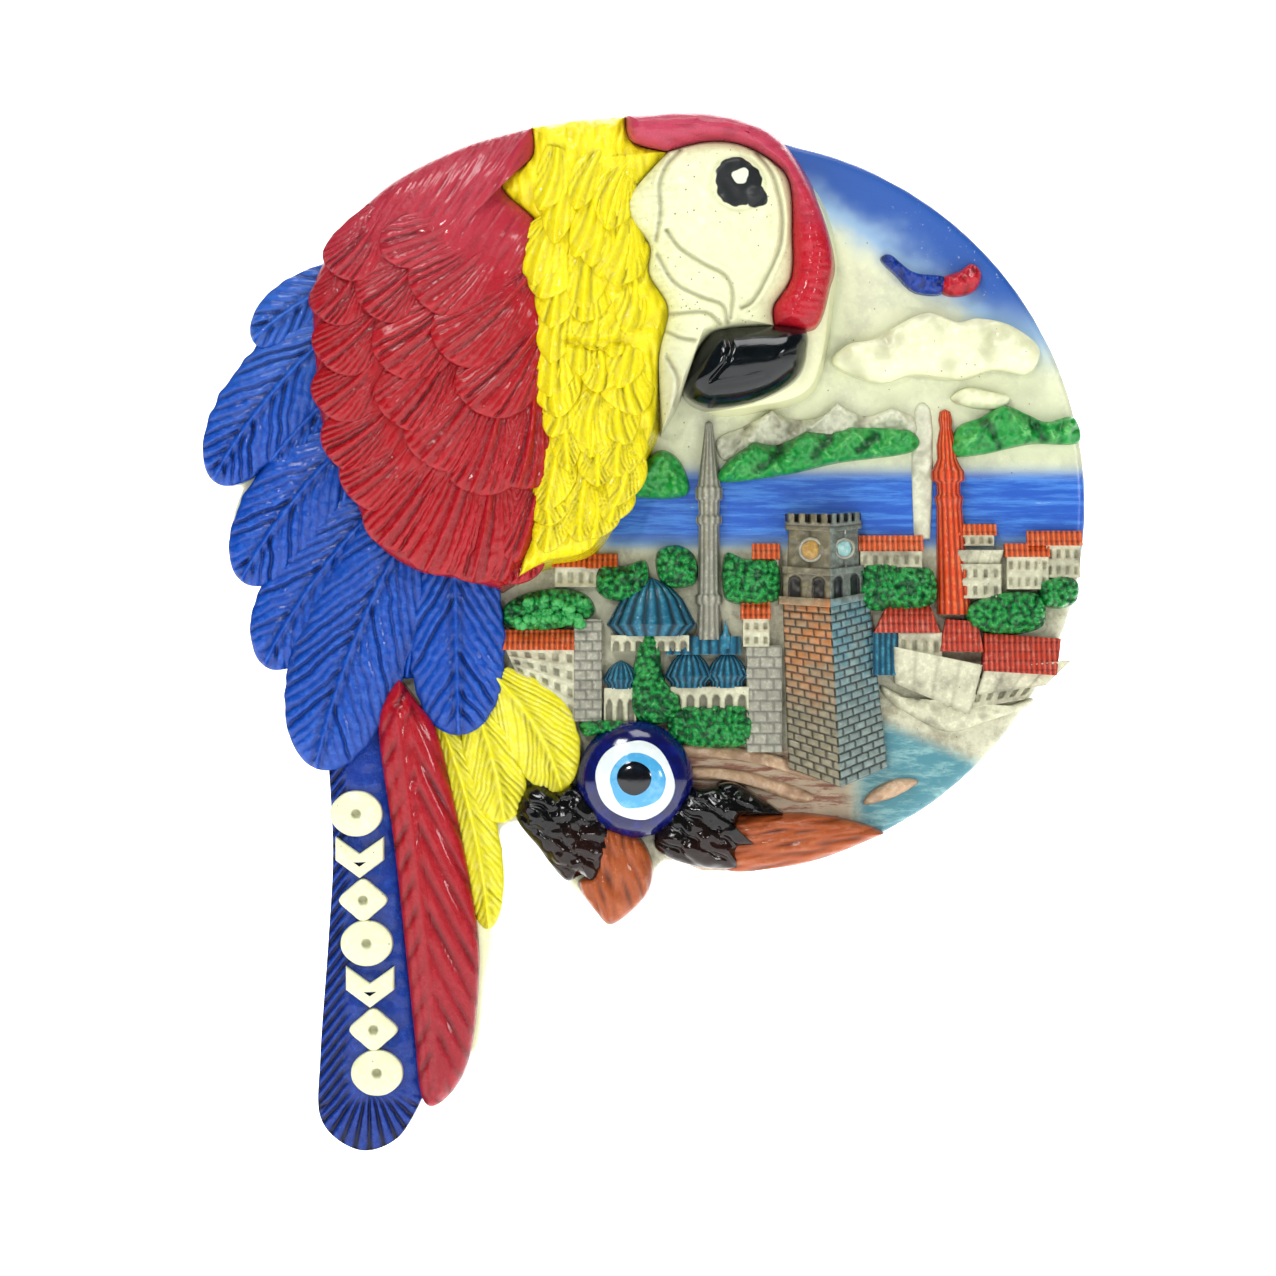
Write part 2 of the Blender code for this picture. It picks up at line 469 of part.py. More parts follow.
def tower_stage(name, stage, mat):
    """One stage of the clock tower: two walls that meet at a front corner edge."""
    low_x, low_z, high_x, high_z, edge, ridge = stage
    loops = []
    for xs, zs in ((low_x, low_z), (high_x, high_z)):
        loops.append([at(xs[0], zs[0], SEAT), at(xs[0], zs[0], edge), at(xs[1], zs[1], ridge),
                      at(xs[2], zs[2], edge), at(xs[2], zs[2], SEAT)])
    loft(name, loops, mat, False)


def build_town(stone, grey, green, orange, teal, roof):
    """Towers, mosque, houses and trees along the shore."""
    tower_stage("clock_shaft", CLOCK_SHAFT, stone)
    tower_stage("clock_head", CLOCK_HEAD, stone)
    pillow_relief("minaret_grey", MINARET_GREY, [(-1.3, 4.4), (-0.7, 0.5), (-0.6, -10.6)],
                  SEAT, 6.0, 7.6, grey, 3)
    pillow_relief("minaret_orange", MINARET_ORANGE, [(19.7, 5.6), (20.4, 2.6), (20.6, -8.4)],
                  SEAT, 6.2, 7.8, orange, 3)
    pillow_relief("dome_main", DOME_MAIN, [(-6.6, -9.8), (-5.2, -9.8)], SEAT, 6.2, 8.6, teal)
    pillow_relief("dome_mid", DOME_MID, [(-2.8, -15.0), (-2.3, -15.0)], SEAT, 6.0, 7.6, teal, 3)
    pillow_relief("dome_right", DOME_RIGHT, [(0.6, -15.0), (1.1, -15.0)], SEAT, 6.0, 7.6, teal, 3)
    flat_relief("mosque_hall", MOSQUE_HALL, SEAT, 6.4, 0.2, teal, 1, False)
    pillow_relief("cypress", CYPRESS, [(-6.0, -13.2), (-5.5, -17.4)], SEAT, 6.4, 8.2, green, 3)
    flat_relief("garden", GARDEN, SEAT, 7.0, 0.7, green)
    flat_relief("house_left", HOUSE_LEFT, SEAT, 6.6, 0.2, stone, 1, False)
    flat_relief("stone_tower", STONE_TOWER, SEAT, 7.0, 0.2, grey, 1, False)
    flat_relief("grove_mid", GROVE_MID, SEAT, 6.8, 0.6, green)
    flat_relief("houses_coast", HOUSES_COAST, SEAT, 6.4, 0.2, stone, 1, False)
    flat_relief("grove_coast", GROVE_COAST, SEAT, 6.9, 0.6, green)
    flat_relief("houses_red", HOUSES_RED, SEAT, 6.5, 0.2, roof, 1, False)
    flat_relief("terrace", TERRACE, SEAT, 6.2, 0.2, stone, 1, False)


def bead_surface(radius):
    return BEAD_EQUATOR + BEAD_RISE * sqrt(1.0 - (radius / BEAD_R) ** 2)


def dome_run(outer, inner, steps=4):
    """Profile points on the bead's front from an outer radius to an inner one."""
    radii = [outer + (inner - outer) * k / steps for k in range(steps + 1)]
    return [(r, bead_surface(r)) for r in radii]


def build_bead(navy, white, sky, black, glue):
    """Glass eye bead: fused layers, each seated in the one behind it."""
    body = ([(0, BEAD_BACK), (4.4, BEAD_BACK), (4.95, 5.6), (BEAD_R, BEAD_EQUATOR)]
            + dome_run(4.95, 3.6, 5) + [(3.6, 7.5), (0, 7.5)])
    turned("bead_body", body, BEAD_AT, navy)
    ring = [(0, 7.7), (3.4, 7.7)] + dome_run(3.4, 2.7, 2) + [(2.7, 8.35), (0, 8.35)]
    turned("bead_white", ring, BEAD_AT, white)
    iris = [(0, 8.5), (2.55, 8.5)] + dome_run(2.55, 1.85, 2) + [(1.85, 8.8), (0, 8.8)]
    turned("bead_blue", iris, BEAD_AT, sky)
    pupil = [(0, 8.95), (1.7, 8.95)] + dome_run(1.7, 0.5, 2) + [(0, bead_surface(0.0))]
    turned("bead_pupil", pupil, BEAD_AT, black)
    disc("bead_glue", *BEAD_AT, 4.3, BEAD_SEAT_FLOOR + 0.2, BEAD_BACK - 0.2, glue, 0.1)


def build_magnets(ferrite, glue):
    """Back magnets, each glued into a round pocket."""
    glue_back = MAGNET_T + GAP
    for tag, (x, z, radius) in (("main", MAGNET_MAIN), ("lower", MAGNET_LOWER)):
        disc(f"magnet_{tag}", x, z, radius, 0.0, MAGNET_T, ferrite, 0.3)
        disc(f"magnet_glue_{tag}", x, z, radius - 1.2, glue_back, glue_back + GLUE_T, glue, 0.08)


def main():
    for obj in list(bpy.data.objects):
        bpy.data.objects.remove(obj, do_unlink=True)
    cream = material("cream_resin", (0.78, 0.80, 0.53), 0.45, coat=0.4)
    red = material("red_enamel", (0.43, 0.012, 0.022), 0.28, coat=0.6)
    blue = material("blue_enamel", (0.012, 0.058, 0.40), 0.28, coat=0.6)
    yellow = material("yellow_enamel", (0.80, 0.72, 0.01), 0.3, coat=0.6)
    black = material("black_enamel", (0.004, 0.005, 0.006), 0.14, coat=0.8)
    orange = material("orange_enamel", (0.58, 0.11, 0.02), 0.35, coat=0.5)
    green = material("green_enamel", (0.015, 0.26, 0.045), 0.35, coat=0.5)
    teal = material("teal_enamel", (0.02, 0.17, 0.27), 0.35, coat=0.5)
    stone = material("stone_wash", (0.45, 0.43, 0.32), 0.6, coat=0.2)
    grey = material("grey_wash", (0.28, 0.27, 0.24), 0.6, coat=0.2)
    white = material("snow_paint", (0.68, 0.69, 0.60), 0.6, coat=0.2)
    roof = material("roof_enamel", (0.62, 0.08, 0.02), 0.4, coat=0.4)
    navy = material("navy_glass", (0.004, 0.008, 0.05), 0.05, coat=1.0)
    milk = material("white_glass", (0.82, 0.86, 0.78), 0.08, coat=1.0)
    sky = material("sky_glass", (0.07, 0.36, 0.66), 0.08, coat=1.0)
    pupil = material("black_glass", (0.006, 0.008, 0.01), 0.08, coat=1.0)
    glue = material("clear_glue", (0.70, 0.66, 0.52), 0.3)
    ferrite = material("ferrite", (0.045, 0.043, 0.042), 0.55, 0.3)
    build_casting(cream)
    build_bird(red, blue, yellow, cream, black, orange)
    build_carvings(cream)
    build_landscape(cream, blue, green, white)
    build_town(stone, grey, green, orange, teal, roof)
    build_bead(navy, milk, sky, pupil, glue)
    build_magnets(ferrite, glue)


main()
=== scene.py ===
import random
from math import atan2, cos, floor, hypot, pi, radians, sin, sqrt

import bmesh
import bpy
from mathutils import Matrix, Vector, noise


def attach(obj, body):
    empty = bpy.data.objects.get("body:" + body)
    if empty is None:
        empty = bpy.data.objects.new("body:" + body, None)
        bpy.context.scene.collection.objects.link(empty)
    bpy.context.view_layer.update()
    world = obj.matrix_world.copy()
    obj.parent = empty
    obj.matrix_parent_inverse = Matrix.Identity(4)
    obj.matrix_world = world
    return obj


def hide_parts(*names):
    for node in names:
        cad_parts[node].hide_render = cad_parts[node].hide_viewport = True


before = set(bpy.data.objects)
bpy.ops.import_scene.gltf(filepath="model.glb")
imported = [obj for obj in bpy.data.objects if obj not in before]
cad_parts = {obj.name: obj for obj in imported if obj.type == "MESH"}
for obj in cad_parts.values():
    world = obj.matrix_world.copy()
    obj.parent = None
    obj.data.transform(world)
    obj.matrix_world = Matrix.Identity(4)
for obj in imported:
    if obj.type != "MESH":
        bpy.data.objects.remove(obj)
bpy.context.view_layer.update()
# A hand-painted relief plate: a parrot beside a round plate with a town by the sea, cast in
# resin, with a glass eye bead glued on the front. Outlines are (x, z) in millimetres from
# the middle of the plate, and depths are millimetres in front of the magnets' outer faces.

MM = 0.001
BASE = 4.9            # foot of every relief wall, just inside the casting's flat front
FRONT = 5.0           # flat front of the casting
SHARP = 0.0           # third value of an outline point that stays a corner
DISC_R = 32.1         # round scene plate
TILE_PITCH = 0.46     # roof tiles, from one row to the next
PRESSED_GRAIN = 0.11  # mesh spacing on the minarets and domes


# ---- shader kit --------------------------------------------------------------------------------
def srgb(code):
    """Linear colour from a six-figure display colour."""
    parts = [int(code[k:k + 2], 16) / 255 for k in (0, 2, 4)]
    return tuple(c / 12.92 if c < 0.04045 else ((c + 0.055) / 1.055) ** 2.4
                 for c in parts) + (1.0,)


class Value:
    """A shader socket that takes part in Python arithmetic."""

    def __init__(self, paint, socket):
        self.paint = paint
        self.socket = socket

    def math(self, operation, *others):
        feeds = dict(enumerate((self,) + others))
        return self.paint.node("ShaderNodeMath", {"operation": operation}, feeds)

    def swapped(self, operation, other):
        return self.paint.node("ShaderNodeMath", {"operation": operation}, {0: other, 1: self})

    def __add__(self, other):
        return self.math("ADD", other)

    def __radd__(self, other):
        return self.swapped("ADD", other)

    def __sub__(self, other):
        return self.math("SUBTRACT", other)

    def __rsub__(self, other):
        return self.swapped("SUBTRACT", other)

    def __mul__(self, other):
        return self.math("MULTIPLY", other)

    def __rmul__(self, other):
        return self.swapped("MULTIPLY", other)


class Paint:
    """A procedural material: paint or glass laid on one Principled shader."""

    def __init__(self, name, coat=0.0, coat_roughness=0.1, specular=0.5):
        self.material = bpy.data.materials.new(name)
        self.material.use_nodes = True
        self.tree = self.material.node_tree
        self.shader = self.tree.nodes["Principled BSDF"]
        self.shader.inputs["Coat Weight"].default_value = coat
        self.shader.inputs["Coat Roughness"].default_value = coat_roughness
        self.shader.inputs["Specular IOR Level"].default_value = specular
        self.spot = None

    def feed(self, socket, value):
        if isinstance(value, Value):
            self.tree.links.new(value.socket, socket)
        else:
            socket.default_value = value

    def node(self, kind, settings=None, values=None, out=0):
        made = self.tree.nodes.new(kind)
        for key, setting in (settings or {}).items():
            setattr(made, key, setting)
        for key, value in (values or {}).items():
            self.feed(made.inputs[key], value)
        return Value(self, made.outputs[out])

    def place(self):
        """Object coordinates in millimetres, as a vector."""
        if self.spot is None:
            coords = self.node("ShaderNodeTexCoord", out=3)
            self.spot = self.node("ShaderNodeVectorMath", {"operation": "SCALE"},
                                  {0: coords, "Scale": 1 / MM})
        return self.spot

    def axis(self, index):
        return self.node("ShaderNodeSeparateXYZ", None, {0: self.place()}, out=index)

    def noise(self, scale, detail=3.0, rough=0.55, stretch=(1, 1, 1)):
        where = self.node("ShaderNodeMapping", None, {"Vector": self.place(), "Scale": stretch})
        return self.node("ShaderNodeTexNoise", None,
                         {"Vector": where, "Scale": scale, "Detail": detail, "Roughness": rough})

    def specks(self, scale, size):
        """1 in small round dots, 0 elsewhere."""
        far = self.node("ShaderNodeTexVoronoi", None, {"Vector": self.place(), "Scale": scale})
        return self.ramp(far, size, size * 0.55)

    def ramp(self, value, start, end):
        """Smooth step from 0 at start to 1 at end."""
        if start > end:
            return 1.0 - self.ramp(value, end, start)
        return self.node("ShaderNodeMapRange", {"interpolation_type": "SMOOTHSTEP"},
                         {"Value": value, "From Min": start, "From Max": end})

    def mix(self, a, b, share):
        return self.node("ShaderNodeMix", {"data_type": "RGBA"}, {0: share, 6: a, 7: b}, out=2)

    def mark(self, name):
        return self.node("ShaderNodeAttribute", {"attribute_name": name}, out=2)

    def near(self, x, z, radius, blur, wobble=None):
        """1 inside a round spot of paint, falling to 0 over the blur."""
        away_x = self.axis(0) - x
        away_z = self.axis(2) - z
        reach = (away_x * away_x + away_z * away_z).math("SQRT")
        if wobble is not None:
            reach = reach + wobble
        return self.ramp(reach, radius + blur, radius)

    def bump(self, height, strength, distance):
        return self.node("ShaderNodeBump", None,
                         {"Height": height, "Strength": strength, "Distance": distance * MM})

    def finish(self, colour, roughness, normal=None):
        self.feed(self.shader.inputs["Base Color"], colour)
        self.feed(self.shader.inputs["Roughness"], roughness)
        if normal is not None:
            self.feed(self.shader.inputs["Normal"], normal)
        return self.material


def resin_paint(name, base, wash_colour, pale, rough=0.5, coat=0.25, pits=0.5, dirt=0.35):
    """Cream resin, darker in the recesses: thin brown-grey washes and painted shade."""
    p = Paint(name, coat, 0.18)
    blotch = p.noise(0.30, 5.0, 0.62)
    fine = p.noise(2.2, 5.0, 0.65)
    wash = p.mark("wash")
    colour = p.mix(srgb(base), srgb(pale), p.ramp(fine, 0.45, 0.68) * 0.6)
    colour = p.mix(colour, srgb(wash_colour), p.ramp(blotch, 0.46, 0.72) * dirt)
    # darker in the recesses and at relief feet: partly paint washes, partly painted shade
    colour = p.mix(colour, srgb(wash_colour), (wash * (0.6 + fine * 0.5)).math("MINIMUM", 1.0))
    holes = p.specks(0.95, 0.085) * pits
    colour = p.mix(colour, srgb("4C4636"), holes)
    normal = p.bump(fine * 0.6 + p.noise(7.0, 3.0, 0.6) * 0.4 - holes * 0.8, 0.4, 0.1)
    return p.finish(colour, rough + (fine - 0.5) * 0.2, normal)


# ---- outlines, curves and relief sheets --------------------------------------------------------
def spot(x, z, depth):
    """Place in the scene for millimetres on the plate."""
    return Vector((x * MM, -depth * MM, z * MM))


def sharp(points):
    """The same points, each kept as a corner."""
    return [(p[0], p[1], SHARP) for p in points]


def rounded(points, count):
    """Closed curve of a given number of evenly spread points."""
    total = len(points)
    fine = []
    for i in range(total):
        before, here, there, after = (points[(i + k) % total] for k in (-1, 0, 1, 2))
        pull_a = 0.5 * (here[2] if len(here) > 2 else 1.0)
        pull_b = 0.5 * (there[2] if len(there) > 2 else 1.0)
        for k in range(16):
            t = k / 16
            h = (2 * t ** 3 - 3 * t ** 2 + 1, t ** 3 - 2 * t ** 2 + t,
                 -2 * t ** 3 + 3 * t ** 2, t ** 3 - t ** 2)
            fine.append(tuple(h[0] * here[a] + h[1] * pull_a * (there[a] - before[a])
                              + h[2] * there[a] + h[3] * pull_b * (after[a] - here[a])
                              for a in (0, 1)))
    return spread(fine + [fine[0]], count)


def spread(line, count):
    """Evenly spaced points along an open polyline, its last point left out."""
    runs = [0.0]
    for a, b in zip(line, line[1:]):
        runs.append(runs[-1] + hypot(b[0] - a[0], b[1] - a[1]))
    result = []
    k = 0
    for i in range(count):
        goal = runs[-1] * i / count
        while runs[k + 1] < goal:
            k += 1
        t = (goal - runs[k]) / max(1e-9, runs[k + 1] - runs[k])
        result.append(tuple(line[k][a] + (line[k + 1][a] - line[k][a]) * t
                            for a in range(len(line[k]))))
    return result


def nearest(line, x, z):
    """Closest place on a polyline to a point."""
    best = (1e9, line[0])
    for (ax, az), (bx, bz) in zip(line, line[1:]):
        run_x, run_z = bx - ax, bz - az
        t = ((x - ax) * run_x + (z - az) * run_z) / (run_x ** 2 + run_z ** 2)
        t = max(0.0, min(1.0, t))
        at = (ax + run_x * t, az + run_z * t)
        best = min(best, (hypot(at[0] - x, at[1] - z), at))
    return best[1]


def ease(t):
    """Smooth step from 0 to 1."""
    t = max(0.0, min(1.0, t))
    return t * t * (3 - 2 * t)


def rough(x, z, scale, seed=0.0):
    """Smooth noise from -1 to 1 at a place on the plate."""
    return noise.noise(Vector((x * scale, seed * 7.3, z * scale)))


def chance(*key):
    """Repeatable number from 0 to 1 for a numbered detail."""
    return 0.5 + 0.5 * noise.cell(Vector(key + (0.37,) * (3 - len(key))) * 3.17)


def groove(value, pitch, sharpness=3.0):
    """1 on evenly spaced lines, falling off between them."""
    return (0.5 + 0.5 * cos(2 * pi * value / pitch)) ** sharpness


def placed(name, bm, material):
    """Smooth-shaded object made of a finished mesh."""
    mesh = bpy.data.meshes.new(name)
    bm.to_mesh(mesh)
    bm.free()
    mesh.materials.append(material)
    mesh.shade_smooth()
    made = bpy.data.objects.new(name, mesh)
    bpy.context.scene.collection.objects.link(made)
    return made


def piece(name, bm, material, slot, *nodes):
    """Part of the plate, and the CAD nodes that it stands for."""
    made = placed(name, bm, material)
    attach(made, "root")
    if nodes:
        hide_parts(*nodes)
    return made


class Clay:
    """Sheets of relief that are gathered into one piece."""

    def __init__(self, name):
        self.name = name
        self.bm = bmesh.new()
        # darker paint in recesses, at the feet of reliefs, under lumps and on flanks turned away:
        # partly real paint washes, partly painted shade
        self.wash = self.bm.verts.layers.float.new("wash")
        # paler paint on raised, front and upper parts: partly real dry-brushing, partly painted
        # highlight
        self.lift = self.bm.verts.layers.float.new("lift")

    def sheet(self, across, along, rule, join=False):
        """Grid whose point (u, v), both from 0 to 1, goes where the rule says:
        x, z, depth, wash and lift."""
        made = bmesh.ops.create_grid(self.bm, x_segments=across, y_segments=along, size=0.5)
        for vert in made["verts"]:
            x, z, depth, wash, lift = rule(vert.co.x + 0.5, vert.co.y + 0.5)
            vert.co = spot(x, z, depth)
            vert[self.wash] = max(0.0, min(1.0, wash))
            vert[self.lift] = max(0.0, min(1.0, lift))
        verts = made["verts"]
        faces = list({f for v in verts for f in v.link_faces})
        facing = sum(f.normal_update() or f.normal.y * f.calc_area() for f in faces)
        if facing > 0:
            bmesh.ops.reverse_faces(self.bm, faces=faces)
        if join:
            bmesh.ops.remove_doubles(self.bm, verts=verts, dist=0.002 * MM)

    def lump(self, x, z, depth, radius, squash=1.0, wash=0.0, seed=0, fine=2):
        """Small round lump, such as a clump of leaves or a berry."""
        made = bmesh.ops.create_icosphere(self.bm, subdivisions=fine, radius=radius * MM)
        for vert in made["verts"]:
            way = vert.co.normalized()
            swell = 1 + 0.28 * noise.noise(way * 1.7 + Vector((seed, seed * 0.7, 0)))
            vert.co = vert.co * swell
            vert.co.y *= squash
            # darker on the side toward the plate (painted shade under the lump), paler on the front
            # and top (painted highlight)
            vert[self.wash] = max(0.0, min(1.0, wash + 0.5 * (way.y + 0.1)))
            vert[self.lift] = max(0.0, min(1.0, 0.4 - way.y * 0.6 + way.z * 0.3))
            vert.co += spot(x, z, depth)

    def done(self, material, slot, *nodes):
        piece(self.name, self.bm, material, slot, *nodes)


def plain(x, z, q):
    """Detail rule for a smooth surface."""
    return 0.0, 0.0, 0.3


def mound(clay, outline, ridge, rim, crown, detail=plain, grain=0.14, draft=0.12, power=1.0):
    """Relief that swells from an outline to a ridge line. The detail rule takes x, z and q,
    from 0 at the rim to 1 on the ridge, and gives extra depth, wash and lift."""
    rough_loop = rounded(outline, 60)
    around = sum(hypot(a[0] - b[0], a[1] - b[1])
                 for a, b in zip(rough_loop, rough_loop[1:] + rough_loop[:1]))
    count = max(48, int(around / grain))
    loop = rounded(outline, count)
    feet = [nearest(ridge, *p) for p in loop]
    reach = sorted(hypot(p[0] - f[0], p[1] - f[1]) for p, f in zip(loop, feet))
    rings = max(8, int(reach[int(count * 0.7)] / grain)) + 3
    middle = (sum(p[0] for p in loop) / count, sum(p[1] for p in loop) / count)

    def rule(u, v):
        i = int(round(u * count)) % count
        x, z = loop[i]
        fx, fz = feet[i][:2]
        step = round(v * rings)
        if step < 2:
            away = Vector((x - middle[0], z - middle[1])).normalized() * draft * (2 - step) / 2
            depth = BASE + (rim - BASE) * step / 2
            # the foot of the wall is darker: painted shade where the relief meets the plate
            return x + away.x, z + away.y, depth, 0.35 - 0.1 * step, 0.0
        q = (step - 2) / (rings - 2)
        t = 1 - cos(q * pi / 2)
        px, pz = x + (fx - x) * t, z + (fz - z) * t
        extra, wash, lift = detail(px, pz, q)
        fade = ease(q * 5)
        height = rim + (crown - rim) * sin(q * pi / 2) ** power
        # darker near the rim: painted shade at the foot of the relief
        return px, pz, height + extra * fade, wash + 0.25 * (1 - fade), lift
    clay.sheet(count, rings, rule, join=True)


def feather(clay, root, tip, width, bend=0.0, low=6.0, high=7.4, crown=0.9, root_share=0.7,
            belly=0.55, pitch=0.75, cut=0.22, slant=1.2, grain=0.12, seed=1,
            base=BASE, point=2.6, blunt=0.5, fan=0.0):
    """One carved feather from root to tip: crowned across, with a shaft down the middle and
    barb grooves that run outwards towards the tip, or that fan out from behind the root."""
    run = Vector(tip) - Vector(root)
    length = run.length
    side = Vector((-run.y, run.x)) / length
    along = max(24, int(length / grain))
    across = 2 * max(10, int(width / grain)) + 4

    def half_width(t):
        if t < belly:
            return width * (root_share + (1 - root_share) * sin(pi / 2 * t / belly))
        late = (t - belly) / (1 - belly)
        return width * max(0.0, 1 - late ** point) ** blunt

    def rule(u, v):
        s = 2 * u - 1
        wall = 2 / across * 1.9
        lateral = max(-1.0, min(1.0, s / (1 - wall)))
        on_wall = max(0.0, (abs(s) - (1 - wall)) / wall)
        t = sin(v * pi / 2) * 0.35 + v * 0.65
        centre = Vector(root) + run * t + side * bend * 4 * t * (1 - t)
        wave = 1 + 0.05 * rough(centre.x, centre.y, 0.9, seed + (3 if s > 0 else 0))
        w = half_width(t) * wave
        at = centre + side * w * lateral
        depth_line = low + (high - low) * t
        fullness = sqrt(max(0.0, 1 - max(0.0, (t - 0.86) / 0.14) ** 2))
        dome = crown * max(0.0, 1 - lateral ** 2) ** 0.7 * fullness
        d = abs(lateral) * w
        q = length * t - d * slant * (1 - 0.25 * t) + 0.45 * rough(at.x, at.y, 0.55, seed)
        spread_out = atan2(d * (1 if s > 0 else -1), length * (t + 0.25)) * fan * pitch
        q = q * (1 - min(1.0, fan)) + spread_out + 0.16 * rough(at.x, at.y, 1.3, seed)
        which = floor(q / pitch + 0.5)
        amount = 0.15 + 0.85 * chance(which, seed, 1.0 if s > 0 else 2.0)
        line = groove(q, pitch, 2.6)
        inner = ease(d / 0.35) * ease((1.06 - abs(lateral)) / 0.25)
        carve = line * amount * inner * ease((1.0 - t) * 12)
        rib = ease(1 - d / 0.28)
        beside = groove(d - 0.42, 4.0, 18)
        height = dome - cut * carve + 0.16 * rib - 0.10 * beside * inner
        height += 0.05 * rough(at.x, at.y, 1.6, seed + 5)
        depth = depth_line - 0.35 + max(0.0, height)
        # darker in the barb grooves, beside the shaft and at the edges: partly paint washes, partly
        # painted shade
        wash = 0.55 * carve + 0.3 * beside * inner + 0.2 * ease((abs(lateral) - 0.85) / 0.15)
        # paler on the ridges and the raised shaft: partly dry-brushing, partly painted highlight
        lift = (1 - line) * 0.6 * inner + rib * 0.7
        # the side wall down to the plate is darker: painted shade
        if on_wall > 0:
            depth = depth + (base - depth) * on_wall
            wash = 0.4
            lift = 0.0
        return at.x, at.y, depth, wash, lift
    clay.sheet(across, along, rule, join=True)


def panel(clay, corners, rule, grain=0.11):
    """Four-sided relief from top left, top right, bottom right and bottom left. The rule
    takes u, v (v from the top down), x and z, and gives depth, wash and lift."""
    tl, tr, br, bl = (Vector(c) for c in corners)
    across = max(6, int(max((tr - tl).length, (br - bl).length) / grain)) + 2
    down = max(6, int(max((bl - tl).length, (br - tr).length) / grain)) + 2

    def place(u, v):
        i, j = round(u * across), round(v * down)
        edge = i in (0, across) or j in (0, down)
        u = max(0, min(across - 2, i - 1)) / (across - 2)
        v = max(0, min(down - 2, j - 1)) / (down - 2)
        top, low = tl.lerp(tr, u), bl.lerp(br, u)
        at = top.lerp(low, v)
        depth, wash, lift = rule(u, v, at.x, at.y)
        # the edge that drops to the plate is darker: painted shade
        return at.x, at.y, BASE if edge else depth, 0.6 if edge else wash, lift
    clay.sheet(across, down, place)


# ---- outlines ----------------------------------------------------------------------------------
COVERT_LEFT = [(-34.0, 21.2), (-35.1, 18.5), (-35.0, 13.0), (-34.2, 6.5), (-32.0, 1.5),
               (-29.8, -3.2), (-26.5, -5.6), (-23.0, -6.4), (-19.0, -7.3)]
COVERT_RIGHT = [(-16.2, 32.6), (-16.2, 30.0), (-18.8, 27.5), (-15.6, 24.0), (-15.9, 19.5),
                (-13.9, 16.0), (-13.5, 12.0), (-13.6, 6.5), (-15.2, 2.0), (-16.2, -2.0),
                (-17.8, -6.2)]
NECK_RIGHT = [(-7.6, 31.3), (-4.4, 30.4), (-7.6, 26.8), (-7.9, 25.0), (-6.0, 22.3),
              (-6.0, 19.8), (-4.4, 16.8), (-5.2, 12.5)]
FACE_RIGHT = [(-4.4, 30.4), (-1.3, 31.2), (1.7, 31.0), (4.6, 29.5), (6.1, 27.5), (6.3, 23.0),
              (6.2, 19.5), (4.7, 17.0), (4.8, 15.3)]
COVERTS = (sharp(COVERT_RIGHT[:1]) + [(-22.0, 31.0), (-28.0, 28.0), (-32.0, 24.3)]
           + COVERT_LEFT[:-1] + sharp(COVERT_LEFT[-1:]) + [(-17.9, -6.6)] + COVERT_RIGHT[:0:-1])
NECK = (sharp(COVERT_RIGHT[:1]) + [(-12.5, 33.2), (-8.2, 33.5, SHARP), NECK_RIGHT[0]]
        + sharp(NECK_RIGHT[1:2]) + NECK_RIGHT[2:]
        + [(-5.6, 7.0), (-8.0, 1.2), (-11.0, -3.8), (-15.0, -5.0), (-17.4, -6.4, SHARP)]
        + COVERT_RIGHT[-2:0:-1])
FACE = (sharp(FACE_RIGHT[:1]) + FACE_RIGHT[1:-1] + sharp(FACE_RIGHT[-1:])
        + [(0.6, 15.0), (-1.2, 14.2), (-2.7, 11.6), (-3.3, 9.4), (-4.9, 6.4, SHARP)]
        + NECK_RIGHT[:1:-1])
STRIPE = ([(-8.0, 33.5, SHARP), (-2.0, 33.8), (2.3, 33.0), (5.2, 31.3), (8.0, 27.0),
           (9.7, 22.0), (9.5, 18.8), (8.2, 15.2)] + sharp(FACE_RIGHT[-1:])
          + FACE_RIGHT[-2:0:-1] + sharp(FACE_RIGHT[:1]) + NECK_RIGHT[:1])
HEAD_SKIRT = [(-4.0, 32.0), (3.0, 32.4), (8.2, 27.0), (9.8, 22.0), (9.6, 17.5), (8.9, 12.5),
              (7.6, 9.8), (4.0, 8.6), (-1.0, 8.6), (-3.0, 14.0), (-4.0, 22.0)]
BEAK = [(-0.9, 14.5), (0.9, 15.2), (6.9, 15.2), (7.6, 13.2), (6.6, 10.6), (3.2, 8.8),
        (-1.0, 8.2), (-3.1, 9.6), (-2.4, 12.0)]
RED_LEFT = [(-29.6, -19.0), (-28.2, -30.0), (-26.6, -45.0), (-25.8, -51.6)]
RED_TAIL = ([(-27.8, -15.2, SHARP)] + RED_LEFT
            + [(-24.0, -51.9), (-21.8, -48.5), (-20.9, -41.5), (-21.2, -35.5),
               (-23.1, -25.5), (-24.6, -19.6), (-26.2, -17.3)])
RED_SKIRT = [(-24.0, -30.0), (-21.4, -33.5), (-20.0, -37.0), (-20.5, -41.5), (-21.3, -47.5),
             (-24.0, -46.0)]
BLUE_TAIL = ([(-34.1, -21.0, SHARP), (-33.6, -30.0), (-34.0, -38.0), (-34.7, -48.0),
              (-34.6, -53.6), (-31.4, -56.2), (-28.0, -55.2)] + sharp(RED_LEFT[3:])
             + RED_LEFT[2:0:-1] + sharp(RED_LEFT[:1]) + [(-31.8, -20.5)])
FOOT_LEFT = [(-16.9, -25.0), (-15.6, -24.3), (-13.9, -25.0), (-12.6, -24.5), (-10.4, -26.0),
             (-9.4, -29.4), (-9.9, -30.9), (-10.9, -33.1), (-12.0, -32.3), (-13.4, -32.7),
             (-15.7, -29.9), (-17.6, -27.3)]
